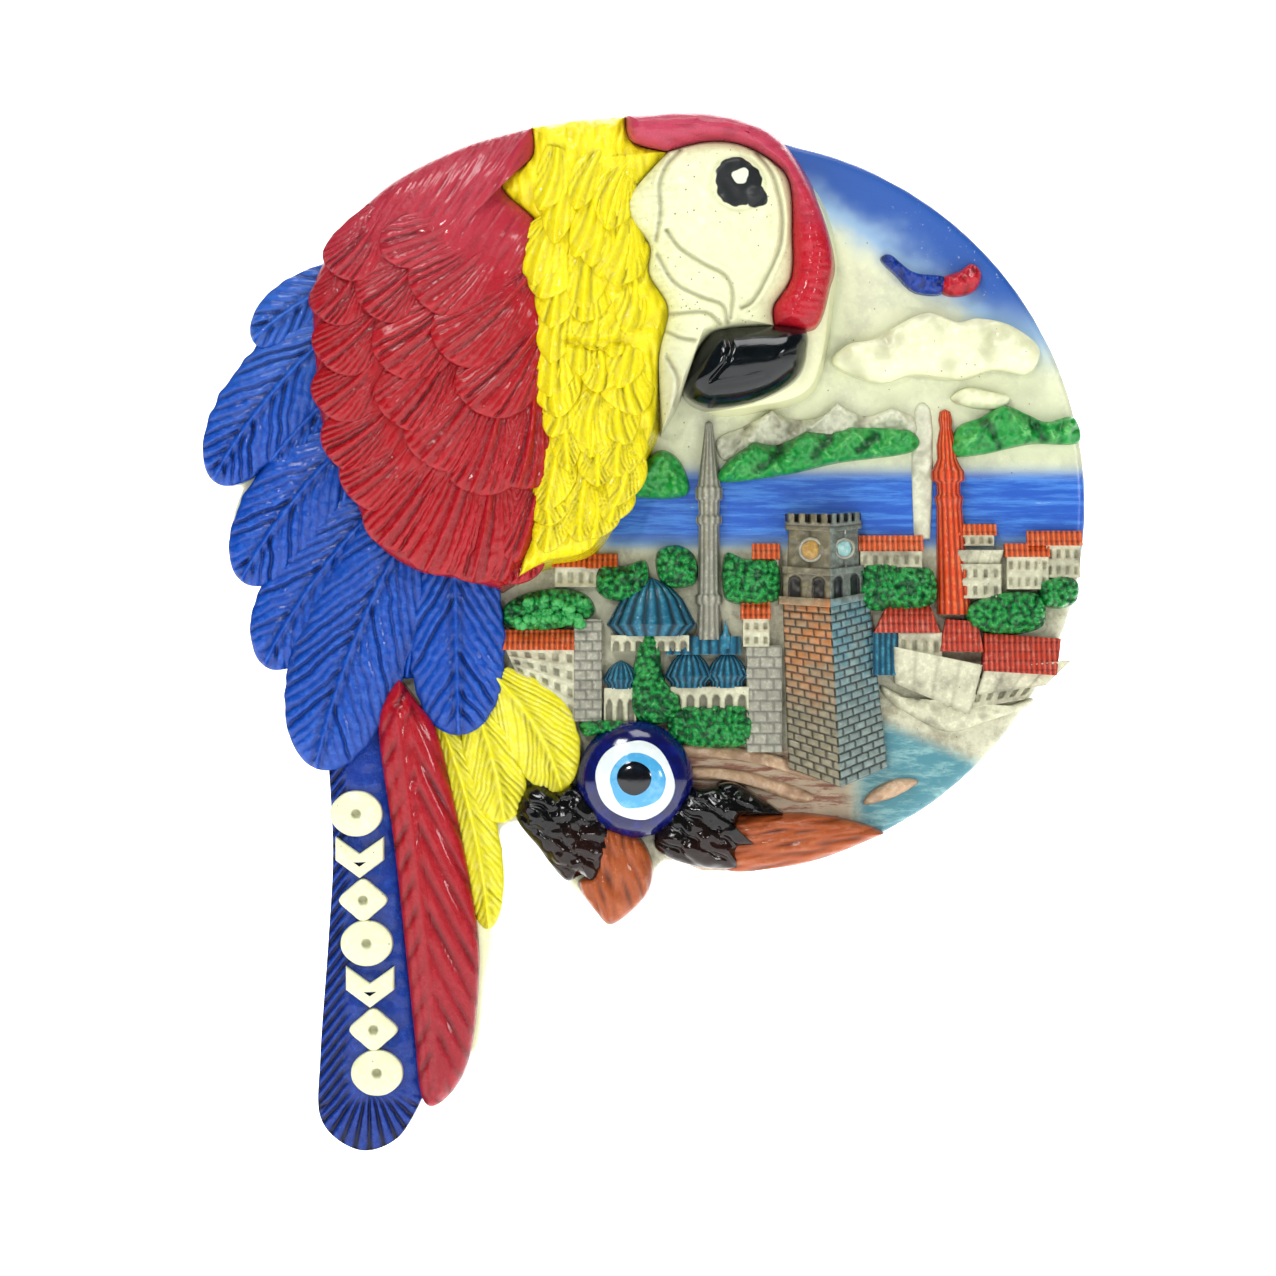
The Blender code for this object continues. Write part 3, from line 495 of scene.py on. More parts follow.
BRANCH_STUB = [(-10.6, -28.2), (-7.2, -29.0), (-5.9, -31.2), (-6.1, -33.5), (-7.5, -35.3),
               (-9.4, -36.6), (-10.6, -35.6), (-12.2, -33.2), (-11.4, -32.0)]
FOOT_RIGHT = [(-3.4, -25.0), (-1.0, -24.6), (1.1, -24.2), (3.2, -25.3), (5.6, -26.9, SHARP),
              (2.2, -27.0), (1.7, -28.4), (3.3, -29.8, SHARP), (1.5, -30.2), (1.6, -31.6),
              (-1.5, -31.6), (-4.7, -30.6), (-5.6, -28.9)]
BRANCH_MAIN = [(1.0, -27.4), (5.6, -27.0), (9.5, -27.2), (13.0, -28.0), (14.4, -28.7, SHARP),
               (9.5, -30.7), (5.0, -31.7), (0.8, -31.9), (0.4, -29.6)]


# ---- paints ------------------------------------------------------------------------------------
def dusted(p, colour, tone, start, end, share):
    """Thin dry coat of another tone, stronger up the plate."""
    height = p.axis(2) + p.noise(0.35, 3.0, 0.6) * 8.0 - 4.0
    return p.mix(colour, srgb(tone), p.ramp(height, start, end) * share)


def feather_paint(name, base, deep, pale, tone=None, start=0.0, end=1.0, share=0.5, rough=0.3,
                  coat=0.6, fleck=0.0, ripple=0.35):
    """Gloss paint on carved feathers, darker in the barbs with washes and painted shade."""
    p = Paint(name, coat * 0.45, 0.06, 0.22)
    fine = p.noise(1.7, 5.0, 0.65)
    clouds = p.noise(0.30, 4.0, 0.6)
    wash = p.mark("wash")
    lift = p.mark("lift")
    colour = p.mix(srgb(base), srgb(pale), p.ramp(clouds * 0.5 + fine * 0.5, 0.46, 0.70) * 0.22)
    if tone:
        colour = dusted(p, colour, tone, start, end, share)
    # paler on raised parts: partly dry-brushing, partly painted highlight
    brushed_and_highlight = p.ramp(fine, 0.44, 0.64) * lift
    colour = p.mix(colour, srgb(pale), (brushed_and_highlight * 0.5).math("MINIMUM", 1.0))
    # darker in grooves and at edges: partly paint washes, partly painted shade
    colour = p.mix(colour, srgb(deep), (wash * (0.8 + fine * 0.8)).math("MINIMUM", 1.0))
    chipped = p.ramp(p.noise(2.9, 5.0, 0.72), 0.685, 0.73) * fleck
    colour = p.mix(colour, srgb("E4E6C8"), chipped)
    grain = p.noise(2.4, 5.0, 0.6) * 0.7 + p.noise(8.0, 2.0, 0.5) * 0.3
    return p.finish(colour, rough + (fine - 0.5) * 0.25 + wash * 0.1,
                    p.bump(grain, ripple * 1.6, 0.2))


def face_paint():
    """Cream face: pits, engraved lines grey with washes and painted shade, and the painted eye."""
    p = Paint("face_cream", 0.15, 0.2, 0.3)
    fine = p.noise(2.0, 5.0, 0.65)
    wash = p.mark("wash")
    colour = p.mix(srgb("DCDFB4"), srgb("C6C99C"), p.ramp(fine, 0.45, 0.66) * 0.5)
    shade = p.ramp(p.axis(2) + p.noise(0.5, 3.0, 0.6) * 5.0, 19.0, 11.0)
    colour = p.mix(colour, srgb("B9B99E"), shade * 0.75)
    pits = p.ramp(p.noise(0.25, 2.0, 0.5), 0.42, 0.56) * p.specks(1.5, 0.16)
    colour = p.mix(colour, srgb("5B553C"), pits * 0.75)
    # engraved lines and eye socket greyed: partly paint washes, partly painted shade in the cuts
    colour = p.mix(colour, srgb("8F8C70"), wash)
    edge = (p.noise(0.8, 1.0, 0.5) - 0.5) * 0.9
    iris = p.near(1.5, 27.5, 2.0, 0.14, edge)
    drip = p.near(3.1, 26.3, 0.9, 0.14, edge)
    black = iris.math("MAXIMUM", drip)
    colour = p.mix(colour, srgb("15191A"), black)
    glint = p.near(1.7, 28.0, 0.66, 0.12, edge)
    colour = p.mix(colour, srgb("D9DDC9"), glint)
    normal = p.bump(fine * 0.6 - pits * 0.9, 0.35, 0.1)
    return p.finish(colour, 0.42 + black * 0.1 + (fine - 0.5) * 0.2, normal)


def plate_paint():
    """Flat ground of the plate: airbrushed sky, streaked sea, washed stone and harbour."""
    p = Paint("plate_paint", 0.3, 0.2)
    x, y, z = p.axis(0), p.axis(1), p.axis(2)
    blotch = p.noise(0.28, 5.0, 0.62)
    fine = p.noise(1.8, 5.0, 0.65)
    reach = (x * x + z * z).math("SQRT")
    colour = p.mix(srgb("D3D7B4"), srgb("BFC2A6"), p.ramp(blotch, 0.42, 0.66))
    colour = p.mix(colour, srgb("E3E6C4"), p.ramp(fine, 0.5, 0.7) * 0.4)
    drift = (p.noise(0.16, 3.0, 0.6) - 0.5) * 6.0
    high = p.ramp(reach + drift, 23.0, 31.5) * p.ramp(z, 9.0, 21.0)
    colour = p.mix(colour, srgb("8FB0CC"), p.ramp(high, 0.02, 0.5))
    colour = p.mix(colour, srgb("1C4F9E"), p.ramp(high, 0.35, 0.95))
    scuff = p.ramp(p.noise(2.6, 6.0, 0.75), 0.60, 0.70) * p.near(21.0, 22.5, 3.0, 5.0)
    colour = p.mix(colour, srgb("E6EADB"), scuff * 0.8)
    streak = p.noise(1.2, 5.0, 0.7, (0.10, 1, 1.3))
    water = p.ramp(z, 4.0, 2.4) * p.ramp(z, -4.9, -3.2) * p.ramp(x, -11.5, -9.0)
    sea = p.mix(srgb("1450B0"), srgb("3C7ACB"), p.ramp(streak, 0.44, 0.62))
    sea = p.mix(sea, srgb("A9BFD2"), p.ramp(streak, 0.655, 0.70) * 0.8)
    sea = p.mix(sea, srgb("9FB2B4"), p.ramp(z, 1.9, 3.6) * 0.85)
    sea = p.mix(sea, srgb("6B8DA9"), p.ramp(z, -2.2, -3.8) * 0.8)
    colour = p.mix(colour, sea, water)
    inland = p.ramp(z, -3.4, -4.6)
    stone = p.mix(srgb("C4C3A8"), srgb("8F8B72"), p.ramp(blotch * 0.6 + fine * 0.4, 0.42, 0.64))
    colour = p.mix(colour, stone, inland * p.ramp(reach, 33.0, 31.4))
    shore = z + (x - 14.5) * 0.42 + fine * 1.2
    harbour = p.ramp(x + fine, 11.6, 13.6) * p.ramp(shore, -17.6, -19.4)
    ripples = p.noise(0.9, 5.0, 0.7, (0.35, 1, 1.4))
    teal = p.mix(srgb("3E7C88"), srgb("7CA8A8"), p.ramp(ripples, 0.45, 0.66))
    teal = p.mix(teal, srgb("56564A"), p.ramp(ripples, 0.62, 0.74) * 0.5)
    colour = p.mix(colour, teal, harbour * p.ramp(reach, 33.0, 31.8))
    quay = p.ramp(z, -20.6, -22.2) * p.ramp(x + fine * 2.0, 13.4, 11.4) * p.ramp(x, -4.0, -2.5)
    planks = p.noise(1.0, 5.0, 0.7, (0.25, 1, 1.5))
    brown = p.mix(srgb("AF9B80"), srgb("7C4A30"), p.ramp(planks, 0.46, 0.60))
    colour = p.mix(colour, brown, quay)
    back = p.ramp(y, -5.2, -4.6)
    raw = p.mix(srgb("E4E5C4"), srgb("CFCEAC"), p.ramp(blotch, 0.4, 0.65))
    side = p.ramp(reach, 32.0, 32.35) * back
    colour = p.mix(colour, raw, side.math("MAXIMUM", p.ramp(y, -4.6, -3.4)))
    pits = p.specks(0.8, 0.07)
    colour = p.mix(colour, srgb("55503E"), pits * 0.7)
    height = fine * 0.5 + p.noise(6.0, 3.0, 0.6) * 0.3 - pits * 0.8 + streak * water * 0.5
    return p.finish(colour, 0.46 - water * 0.14 + (fine - 0.5) * 0.2, p.bump(height, 0.4, 0.12))


def glass_paint(name, base, pale, roughness=0.06):
    """Opaque fused glass, fire polished, with faint clouding and seed bubbles."""
    p = Paint(name, 0.35, 0.05, 0.4)
    cloud = p.noise(0.8, 3.0, 0.6)
    colour = p.mix(srgb(base), srgb(pale), p.ramp(cloud, 0.45, 0.70) * 0.5)
    colour = p.mix(colour, srgb(pale), p.specks(1.3, 0.07) * 0.35)
    return p.finish(colour, roughness + 0.04 + cloud * 0.06, p.bump(cloud, 0.12, 0.2))


def ferrite_paint():
    """Ground sintered ferrite: dark grey with grinding lines and small chips."""
    p = Paint("ferrite_ground", 0.0)
    lines = p.noise(3.0, 4.0, 0.7, (0.08, 1, 1.6))
    fine = p.noise(5.0, 5.0, 0.7)
    colour = p.mix(srgb("2E2D2C"), srgb("4B4946"), p.ramp(lines, 0.4, 0.65))
    colour = p.mix(colour, srgb("77736B"), p.specks(0.9, 0.06) * 0.6)
    return p.finish(colour, 0.48 + (fine - 0.5) * 0.3, p.bump(lines * 0.6 + fine * 0.4, 0.5, 0.08))


def tower_paint(name, base, warm, dark, pale, warm_share):
    """Brick relief under layered washes and painted shade, warmer towards the top."""
    p = Paint(name, 0.45, 0.1)
    fine = p.noise(1.9, 5.0, 0.65)
    wash = p.mark("wash")
    lift = p.mark("lift")
    height = p.axis(2) + (p.noise(0.35, 4.0, 0.65) - 0.5) * 9.0
    patch = p.ramp(height, -20.0, -11.0) * p.ramp(p.axis(2), -7.4, -9.0)
    streaks = p.ramp(p.noise(0.55, 4.0, 0.6), 0.40, 0.58)
    colour = p.mix(srgb(base), srgb(warm), patch * (0.35 + streaks * 0.65) * warm_share)
    colour = p.mix(colour, srgb("4A4636"), p.ramp(p.axis(2), -8.8, -8.2) * 0.6)
    # paler on raised parts: partly dry-brushing, partly painted highlight
    colour = p.mix(colour, srgb(pale), (p.ramp(fine, 0.42, 0.62) * lift * 0.75))
    # darker in joints and openings: partly paint washes, partly painted shade
    colour = p.mix(colour, srgb(dark), (wash * (0.7 + fine * 0.5)).math("MINIMUM", 1.0))
    return p.finish(colour, 0.4 + (fine - 0.5) * 0.25, p.bump(fine, 0.4, 0.12))


RED = feather_paint("red_coverts", "9C0A14", "48030A", "B82A36", "A83446", 13.0, 29.0, 0.75,
                    rough=0.24, fleck=0.1)
RED_SMOOTH = feather_paint("red_crown", "AC1020", "5A0710", "C23444", "B0405A", 22.0, 31.0, 0.8,
                           fleck=0.25)
RED_LONG = feather_paint("red_tail", "980A18", "4E040C", "C02C3A", "8E1526", -32.0, -50.0, 0.6,
                         rough=0.2)
BLUE = feather_paint("blue_wing", "08409E", "030A38", "2E68C8", "3A6EC4", 3.0, 19.0, 0.4,
                     rough=0.22, fleck=0.08)
BLUE_DEEP = feather_paint("blue_tail", "072E86", "03082C", "2254B4", rough=0.24, fleck=0.1)
YELLOW = feather_paint("yellow_neck", "E6D60E", "9A8A08", "F4EC46", "EADE2A", 24.0, 33.0, 0.5,
                       rough=0.24, fleck=0.05, ripple=0.5)
YELLOW_TAIL_PAINT = feather_paint("yellow_tail", "DED61E", "98900F", "F4F08A", rough=0.3)
BLACK = feather_paint("black_feet", "050606", "010101", "150F0E", "3A1A10", -27.0, -31.0, 0.3,
                      rough=0.14, coat=0.8, ripple=0.10)
BEAK_BLACK = feather_paint("black_beak", "04080A", "010202", "0C1A22", rough=0.10, coat=1.0,
                           ripple=0.12)
ORANGE_WOOD = feather_paint("orange_branch", "9C4A20", "2C120A", "B87448", rough=0.34,
                            fleck=0.15)
ORANGE = feather_paint("orange_minaret", "D2461A", "7A2008", "E8925A", fleck=0.15)
ROOF = feather_paint("roof_red", "C0402A", "6E1C10", "DE9480", rough=0.38, fleck=0.35)
GREEN = feather_paint("leaf_green", "168238", "083C1E", "63C470", rough=0.28, fleck=0.15)
HILL = feather_paint("hill_green", "188A38", "07401C", "7CCB70", rough=0.32, fleck=0.12)
TEAL = feather_paint("dome_teal", "1A5C78", "06242F", "58AFC0", rough=0.3, fleck=0.05)
STONE = resin_paint("stone_wash_paint", "B8B79A", "565240", "DADABC", dirt=0.7)
GREY = resin_paint("grey_wash_paint", "8D8C7C", "3B3A30", "B9B9A4", rough=0.42, coat=0.35)
QUAY = resin_paint("quay_boards", "B09070", "6A4630", "CDBB9C", dirt=0.7)
SNOW = resin_paint("snow_ridge_paint", "C6C8AE", "7E7C64", "E2E3CC", dirt=0.5)
CREAM = resin_paint("cream_carving", "DADDB4", "8C8A66", "E8EACC", rough=0.38, pits=0.7,
                    dirt=0.12)
CREAM_RAW = resin_paint("cream_edge", "DEE0B4", "BEBE92", "E8EAC2", rough=0.4, pits=0.2,
                        dirt=0.25)
TOWER_WARM = tower_paint("tower_left", "767058", "B46A22", "16120C", "948A68", 0.9)
TOWER_COOL = tower_paint("tower_right", "64746E", "3F7A88", "10181A", "869A92", 0.75)
FACE_PAINT = face_paint()
PLATE = plate_paint()


# ---- the bird ----------------------------------------------------------------------------------
def covert_bed(x, z):
    """Depth of the swelling shoulder under the red coverts."""
    out = ((x + 24.3) / 11.8) ** 2 + ((z - 12.0) / 21.5) ** 2
    return 7.6 + 3.4 * sqrt(max(0.0, 1 - out))


def neck_bed(x, z):
    """Depth of the ridge under the yellow tufts, with one fold across it."""
    out = ((x + 10.6 + 0.05 * z) / 6.4) ** 2
    crease = ease(1 - abs(z - 13.8 + 0.2 * sin(x)) / 0.7) * ease((x + 14.0) / 1.0)
    return 7.2 + 3.2 * sqrt(max(0.0, 1 - out)) - 0.8 * crease


def hair(x, z, q):
    """Fine combed strokes on the shoulder's smooth upper part."""
    along = x * 0.55 + z * 0.84
    across = x * 0.84 - z * 0.55
    stroke = rough(along * 0.35, across * 3.2, 1.0, 3)
    broad = rough(x, z, 0.35, 9)
    return 0.10 * stroke + 0.18 * broad, max(0.0, -stroke) * 0.5, max(0.0, stroke) * 0.8


# rows of coverts from the top down: root, tip, half width
COVERT_FEATHERS = [
    ((-17.8, -0.5), (-18.6, -7.0), 1.9), ((-15.6, 3.0), (-17.6, -5.2), 1.5),
    ((-19.6, 4.0), (-21.4, -6.9), 2.4), ((-21.0, 5.5), (-25.4, -6.0), 2.5),
    ((-23.4, 5.0), (-29.4, -3.6), 2.4), ((-26.4, 5.4), (-32.0, 0.6), 2.1),
    ((-16.0, 9.8), (-17.4, 1.2), 2.0), ((-18.6, 10.2), (-21.4, 0.8), 2.4),
    ((-28.0, 8.4), (-33.8, 4.0), 2.0), ((-19.8, 11.5), (-25.6, 3.5), 2.6),
    ((-29.4, 12.6), (-34.6, 8.2), 1.9), ((-22.8, 14.0), (-28.2, 6.9), 2.5),
    ((-15.4, 15.5), (-21.6, 8.2), 2.3), ((-29.0, 17.0), (-34.4, 12.2), 2.0),
    ((-21.6, 18.2), (-29.2, 11.9), 2.3), ((-16.6, 19.4), (-24.0, 12.8), 2.3),
    ((-31.0, 20.6), (-34.6, 16.0), 1.7), ((-25.4, 21.4), (-30.6, 16.6), 1.9),
    ((-18.8, 23.4), (-26.0, 17.4), 2.3), ((-29.2, 25.0), (-33.4, 19.8), 1.7),
    ((-19.6, 25.8), (-29.2, 21.6), 1.7),
]


def coverts():
    """Red shoulder: a swelling mound under overlapping carved feathers."""
    clay = Clay("coverts_shoulder")
    mound(clay, COVERTS, [(-23.0, 23.0), (-25.0, 8.0)], 8.0, 10.9, hair, 0.17, 0.5)
    clay.done(RED, "red_enamel", "wing_coverts")
    for k, (root, tip, width) in enumerate(COVERT_FEATHERS):
        clay = Clay(f"covert_feather_{k + 1:02d}")
        bedded_feather(clay, covert_bed, root, tip, width * 1.5, -0.4, 0.9, 0.55, 1.0, 0.34,
                       k, bend=0.4, slant=2.1, fan=15.0)
        clay.done(RED, "red_enamel")


def bedded_feather(clay, bed, root, tip, width, low, high, crown, pitch, cut, seed, bend=0.0,
                   grain=0.12, slant=1.35, belly=0.6, **form):
    """Feather whose depth follows the body under it."""
    sheet = clay.sheet

    def lay(across, along, rule, join=False):
        def settled(u, v):
            x, z, depth, wash, lift = rule(u, v)
            under = bed(x, z)
            return x, z, under + depth, wash, lift
        sheet(across, along, settled, join)
    clay.sheet = lay
    feather(clay, root, tip, width, bend, low, high, crown, 0.6, belly, pitch, cut,
            slant, grain, seed=seed, base=-1.2, **form)
    clay.sheet = sheet


def neck():
    """Yellow neck: a ruffled ridge of small drooping feathers that look wet."""
    clay = Clay("neck_ruff")

    def ruffle(x, z, q):
        strand = rough(x * 2.3 + 0.5 * rough(x, z, 0.6, 2), z * 0.55, 1.0, 4)
        clump = rough(x, z, 0.9, 6)
        dip = max(0.0, -strand)
        return 0.32 * strand + 0.3 * clump, 0.5 * dip, max(0.0, strand)
    mound(clay, NECK, [(-12.0, 29.5), (-10.5, 17.0), (-9.8, 4.0)], 8.1, 10.2, ruffle, 0.15, 0.8)
    clay.done(YELLOW, "yellow_enamel", "neck_feathers")
    draw = random.Random(21)
    clay = Clay("neck_tufts")
    for row in range(13):
        z = 29.5 - row * 2.5
        left = -15.0 if z > 5 else -15.2 - (5 - z) * 0.22
        right = -6.4 if z > 3 else -7.0 - (3 - z) * 0.55
        count = max(2, int((right - left) / 2.5))
        for k in range(count):
            x = left + (right - left) * (k + 0.5) / count + draw.uniform(-0.6, 0.6)
            root = (x, z + draw.uniform(0.0, 1.6))
            fall = draw.uniform(4.0, 6.2)
            tip = (x + draw.uniform(-1.4, 0.7) - (1.2 if z > 14 else 0.0), root[1] - fall)
            bedded_feather(clay, neck_bed, root, tip, draw.uniform(1.5, 2.5), -0.2, 0.85,
                           0.5, 0.9, 0.30, row * 9 + k, bend=draw.uniform(-0.7, 0.7),
                           grain=0.15, slant=3.0, belly=0.45, point=1.9, blunt=0.7,
                           fan=9.0 if z > 8 else 0.0)
    clay.done(YELLOW, "yellow_enamel")


def curved(points, steps=4):
    """Open line smoothed through its points."""
    ends = [points[0]] + list(points) + [points[-1]]
    line = []
    for four_points in zip(ends, ends[1:], ends[2:], ends[3:]):
        for k in range(steps):
            t = k / steps
            line.append(tuple(
                0.5 * (2 * b + (c - a) * t + (2 * a - 5 * b + 4 * c - d) * t * t
                       + (3 * b - a - 3 * c + d) * t ** 3) for a, b, c, d in zip(*four_points)))
    return line + [points[-1]]


FACE_LINES = [curved(line) for line in (
    [(3.2, 30.2), (4.5, 28.4), (5.3, 25.7), (5.4, 23.3), (4.9, 21.2), (3.1, 17.7), (1.9, 16.7)],
    [(-3.4, 30.4), (-4.6, 29.0), (-5.2, 27.2), (-5.1, 25.0), (-5.5, 22.6)],
    [(-4.6, 23.4), (-3.4, 21.8), (-1.3, 20.4), (0.4, 19.5), (1.1, 18.0), (0.9, 15.8)],
    [(-5.4, 21.4), (-3.9, 18.9), (-1.6, 17.6), (0.2, 16.9), (0.7, 15.4)],
    [(-6.4, 17.4), (-4.3, 16.3), (-1.3, 16.3), (0.0, 15.3)],
    [(-5.6, 15.4), (-3.6, 14.2), (-2.2, 13.9)],
    [(-4.6, 12.6), (-3.6, 10.6), (-3.9, 8.4)],
)]


def line_gap(lines, x, z):
    """Distance from a place to the nearest of several drawn lines."""
    best = 99.0
    for line in lines:
        for (ax, az), (bx, bz) in zip(line, line[1:]):
            rx, rz = bx - ax, bz - az
            t = max(0.0, min(1.0, ((x - ax) * rx + (z - az) * rz) / (rx * rx + rz * rz)))
            best = min(best, hypot(x - ax - rx * t, z - az - rz * t))
    return best


def head():
    """Cream face with engraved lines, red crown stripe, cream edge and black beak."""
    clay = Clay("head_edge")
    mound(clay, HEAD_SKIRT, [(-1.0, 26.0), (2.0, 14.0)], 7.2, 8.6, plain, 0.2, 0.5)
    clay.done(CREAM_RAW, "cream_resin")
    clay = Clay("face_cheek")

    def engraved(x, z, q):
        gap = line_gap(FACE_LINES, x, z)
        cut = ease(1 - gap / 0.30)
        lip = ease(1 - abs(gap - 0.45) / 0.28)
        socket = ease(1 - abs(hypot(x - 1.6, z - 27.4) - 2.35) / 0.35)
        feathery = rough(x * 1.2, z * 3.5, 1.0, 8) * ease((-x - 3.2) / 1.5)
        return (0.10 * rough(x, z, 1.1, 5) - 0.26 * cut + 0.10 * lip - 0.10 * socket
                + 0.12 * feathery, 0.75 * cut + 0.25 * socket + 0.3 * max(0.0, -feathery), 0.3)
    mound(clay, FACE, [(0.4, 26.6), (-1.4, 15.0)], 8.8, 12.0, engraved, 0.10, 0.6)
    clay.done(FACE_PAINT, "cream_resin", "face")
    clay = Clay("crown_band")
    mound(clay, STRIPE, [(-6.4, 32.4), (-2.0, 32.6), (2.4, 31.9), (5.6, 29.4), (7.4, 26.0),
                         (8.1, 22.0), (7.6, 18.6), (6.6, 16.4)], 8.9, 10.9,
          lambda x, z, q: (0.10 * rough(x * 0.6, z * 2.2, 1.0, 3) + 0.08 * rough(x, z, 0.7, 1),
                           max(0.0, -rough(x * 0.6, z * 2.2, 1.0, 3)) * 0.35, 0.4), 0.14, 0.6)
    clay.done(RED_SMOOTH, "red_enamel", "crown_stripe")
    clay = Clay("beak_horn")
    crease = [[(0.4, 15.3), (0.9, 13.2), (0.4, 11.8), (-0.8, 10.4)]]
    lower = [[(-0.8, 10.2), (1.6, 10.5), (3.6, 11.0)]]

    def horn(x, z, q):
        cut = ease(1 - line_gap(crease, x, z) / 0.35)
        ridge = ease(1 - line_gap(lower, x, z) / 0.3)
        return -0.30 * cut + 0.12 * ridge + 0.05 * rough(x, z, 0.6, 2), 0.2 * cut, 0.3
    mound(clay, BEAK, [(0.6, 11.9), (4.2, 12.2)], 8.8, 12.9, horn, 0.12)
    clay.done(BEAK_BLACK, "black_enamel", "beak")


def wing():
    """Long blue flight feathers that fan out from under the coverts."""
    spec = [
        ("wing_feather_1", (-30.6, 20.0), (-40.6, 14.2), 2.5, -0.7, 6.2, 7.0),
        ("wing_feather_2", (-30.6, 17.4), (-44.0, 2.0), 3.8, -1.1, 6.4, 7.2),
        ("wing_feather_3", (-29.4, 8.0), (-41.6, -6.7), 4.0, -0.9, 6.2, 6.9),
        ("wing_feather_4", (-28.0, 1.4), (-39.6, -14.1), 3.9, -0.9, 6.2, 6.9),
        ("wing_feather_5", (-26.6, -1.6), (-35.0, -23.0), 4.9, -0.9, 7.0, 7.9),
        ("wing_feather_6", (-23.0, -3.4), (-22.6, -20.1), 4.1, 0.0, 7.0, 7.6),
    ]
    under = [
        ("wing_under_1", (-30.0, 12.6), (-39.2, 3.6), 2.6, -0.3, 5.9, 6.6),
        ("wing_under_2", (-29.4, 5.0), (-38.6, -4.4), 2.6, -0.4, 5.9, 6.4),
        ("wing_under_3", (-27.4, 0.6), (-36.2, -13.0), 2.8, -0.5, 5.9, 6.4),
        ("wing_under_4", (-26.2, -3.0), (-27.2, -15.2), 2.6, 0.3, 5.9, 6.8),
    ]
    for k, (name, root, tip, width, bend, low, high) in enumerate(under):
        clay = Clay(name)
        feather(clay, root, tip, width, bend, low, high, 0.7, 0.8, 0.5, 1.4, 0.36, 1.6,
                0.13, seed=k + 40)
        clay.done(BLUE, "blue_enamel")
    for k, (name, root, tip, width, bend, low, high) in enumerate(spec):
        clay = Clay(name + "_vane")
        feather(clay, root, tip, width, bend, low, high, 1.0, 0.72, 0.5, 1.55, 0.42, 1.9,
                0.12, seed=k + 2)
        clay.done(BLUE, "blue_enamel", name)


# ---- tail, feet and perch ----------------------------------------------------------------------
ORNAMENT_FIRST = (-31.5, -26.9)
ORNAMENT_LAST = (-29.7, -49.4)
ORNAMENT_COUNT = 7


def tail():
    """Blue, red and yellow tail feathers with the row of raised carvings."""
    clay = Clay("tail_blue_vane")

    def barbs(x, z, q):
        edge = ease((-31.9 - x - 0.2 * sin(z)) / 0.9) * ease((z + 54.0) / 2.0)
        line = groove(z * 1.0 - x * 1.3, 1.15, 2.0) * edge
        around = atan2(x + 30.4, -(z + 49.5))
        fan = groove(around * 5.2, 1.0, 2.0) * ease((-51.0 - z) / 1.5)
        cut = max(line, fan)
        lumpy = rough(x, z, 0.8, 2)
        return 0.10 * lumpy - 0.28 * cut, 0.9 * cut + max(0.0, -lumpy) * 0.3, 0.45
    mound(clay, BLUE_TAIL, [(-31.6, -24.5), (-30.9, -36.0), (-30.3, -51.0)], 6.5, 7.0, barbs,
          0.13)
    clay.done(BLUE_DEEP, "blue_enamel", "tail_feather_blue")
    clay = Clay("tail_red_edge")
    mound(clay, RED_SKIRT, [(-23.0, -36.0), (-23.0, -44.0)], 6.0, 6.4, plain, 0.2, 0.3)
    clay.done(CREAM_RAW, "cream_resin")
    clay = Clay("tail_red_vane")
    shaft = [[(-27.9, -18.0), (-26.6, -28.0), (-25.2, -40.0), (-24.2, -51.0)]]

    def vane(x, z, q):
        gap = line_gap(shaft, x, z)
        spine = ease(1 - gap / 0.45)
        beside = ease(1 - abs(gap - 0.75) / 0.3)
        line = groove(z * 0.52 + (x + 25.0) * (1.0 if x > -25.4 + (z + 38) * -0.06 else -1.0),
                      1.55, 2.6)
        line *= 0.35 + 0.65 * max(0.0, rough(x, z, 0.35, 12) + 0.4)
        edge = ease(gap / 0.8)
        return 0.22 * spine - 0.10 * beside - 0.20 * line * edge, 0.7 * line * edge, 0.4
    mound(clay, RED_TAIL, [(-27.2, -18.5), (-25.2, -34.0), (-23.7, -49.0)], 7.0, 8.6, vane, 0.13)
    clay.done(RED_LONG, "red_enamel", "tail_feather_red")
    yellows = [
        ("tail_feather_yellow_3", (-24.2, -19.0), (-20.0, -37.0), 2.0, 0.7, 6.3, 6.6, 0.5),
        ("tail_feather_yellow_2", (-21.6, -16.5), (-18.6, -27.7), 2.5, 0.4, 6.6, 7.0, 0.6),
        ("tail_feather_yellow_1", (-19.6, -14.9), (-13.6, -25.0), 3.2, 0.9, 6.8, 7.2, 0.45),
    ]
    for k, (name, root, tip, width, bend, low, high, belly) in enumerate(yellows):
        clay = Clay(name + "_vane")
        feather(clay, root, tip, width, bend, low, high, 0.8, 0.45, belly, 0.95, 0.26, 2.4,
                0.12, seed=k + 60)
        clay.done(YELLOW_TAIL_PAINT, "yellow_enamel", name)
    carvings()


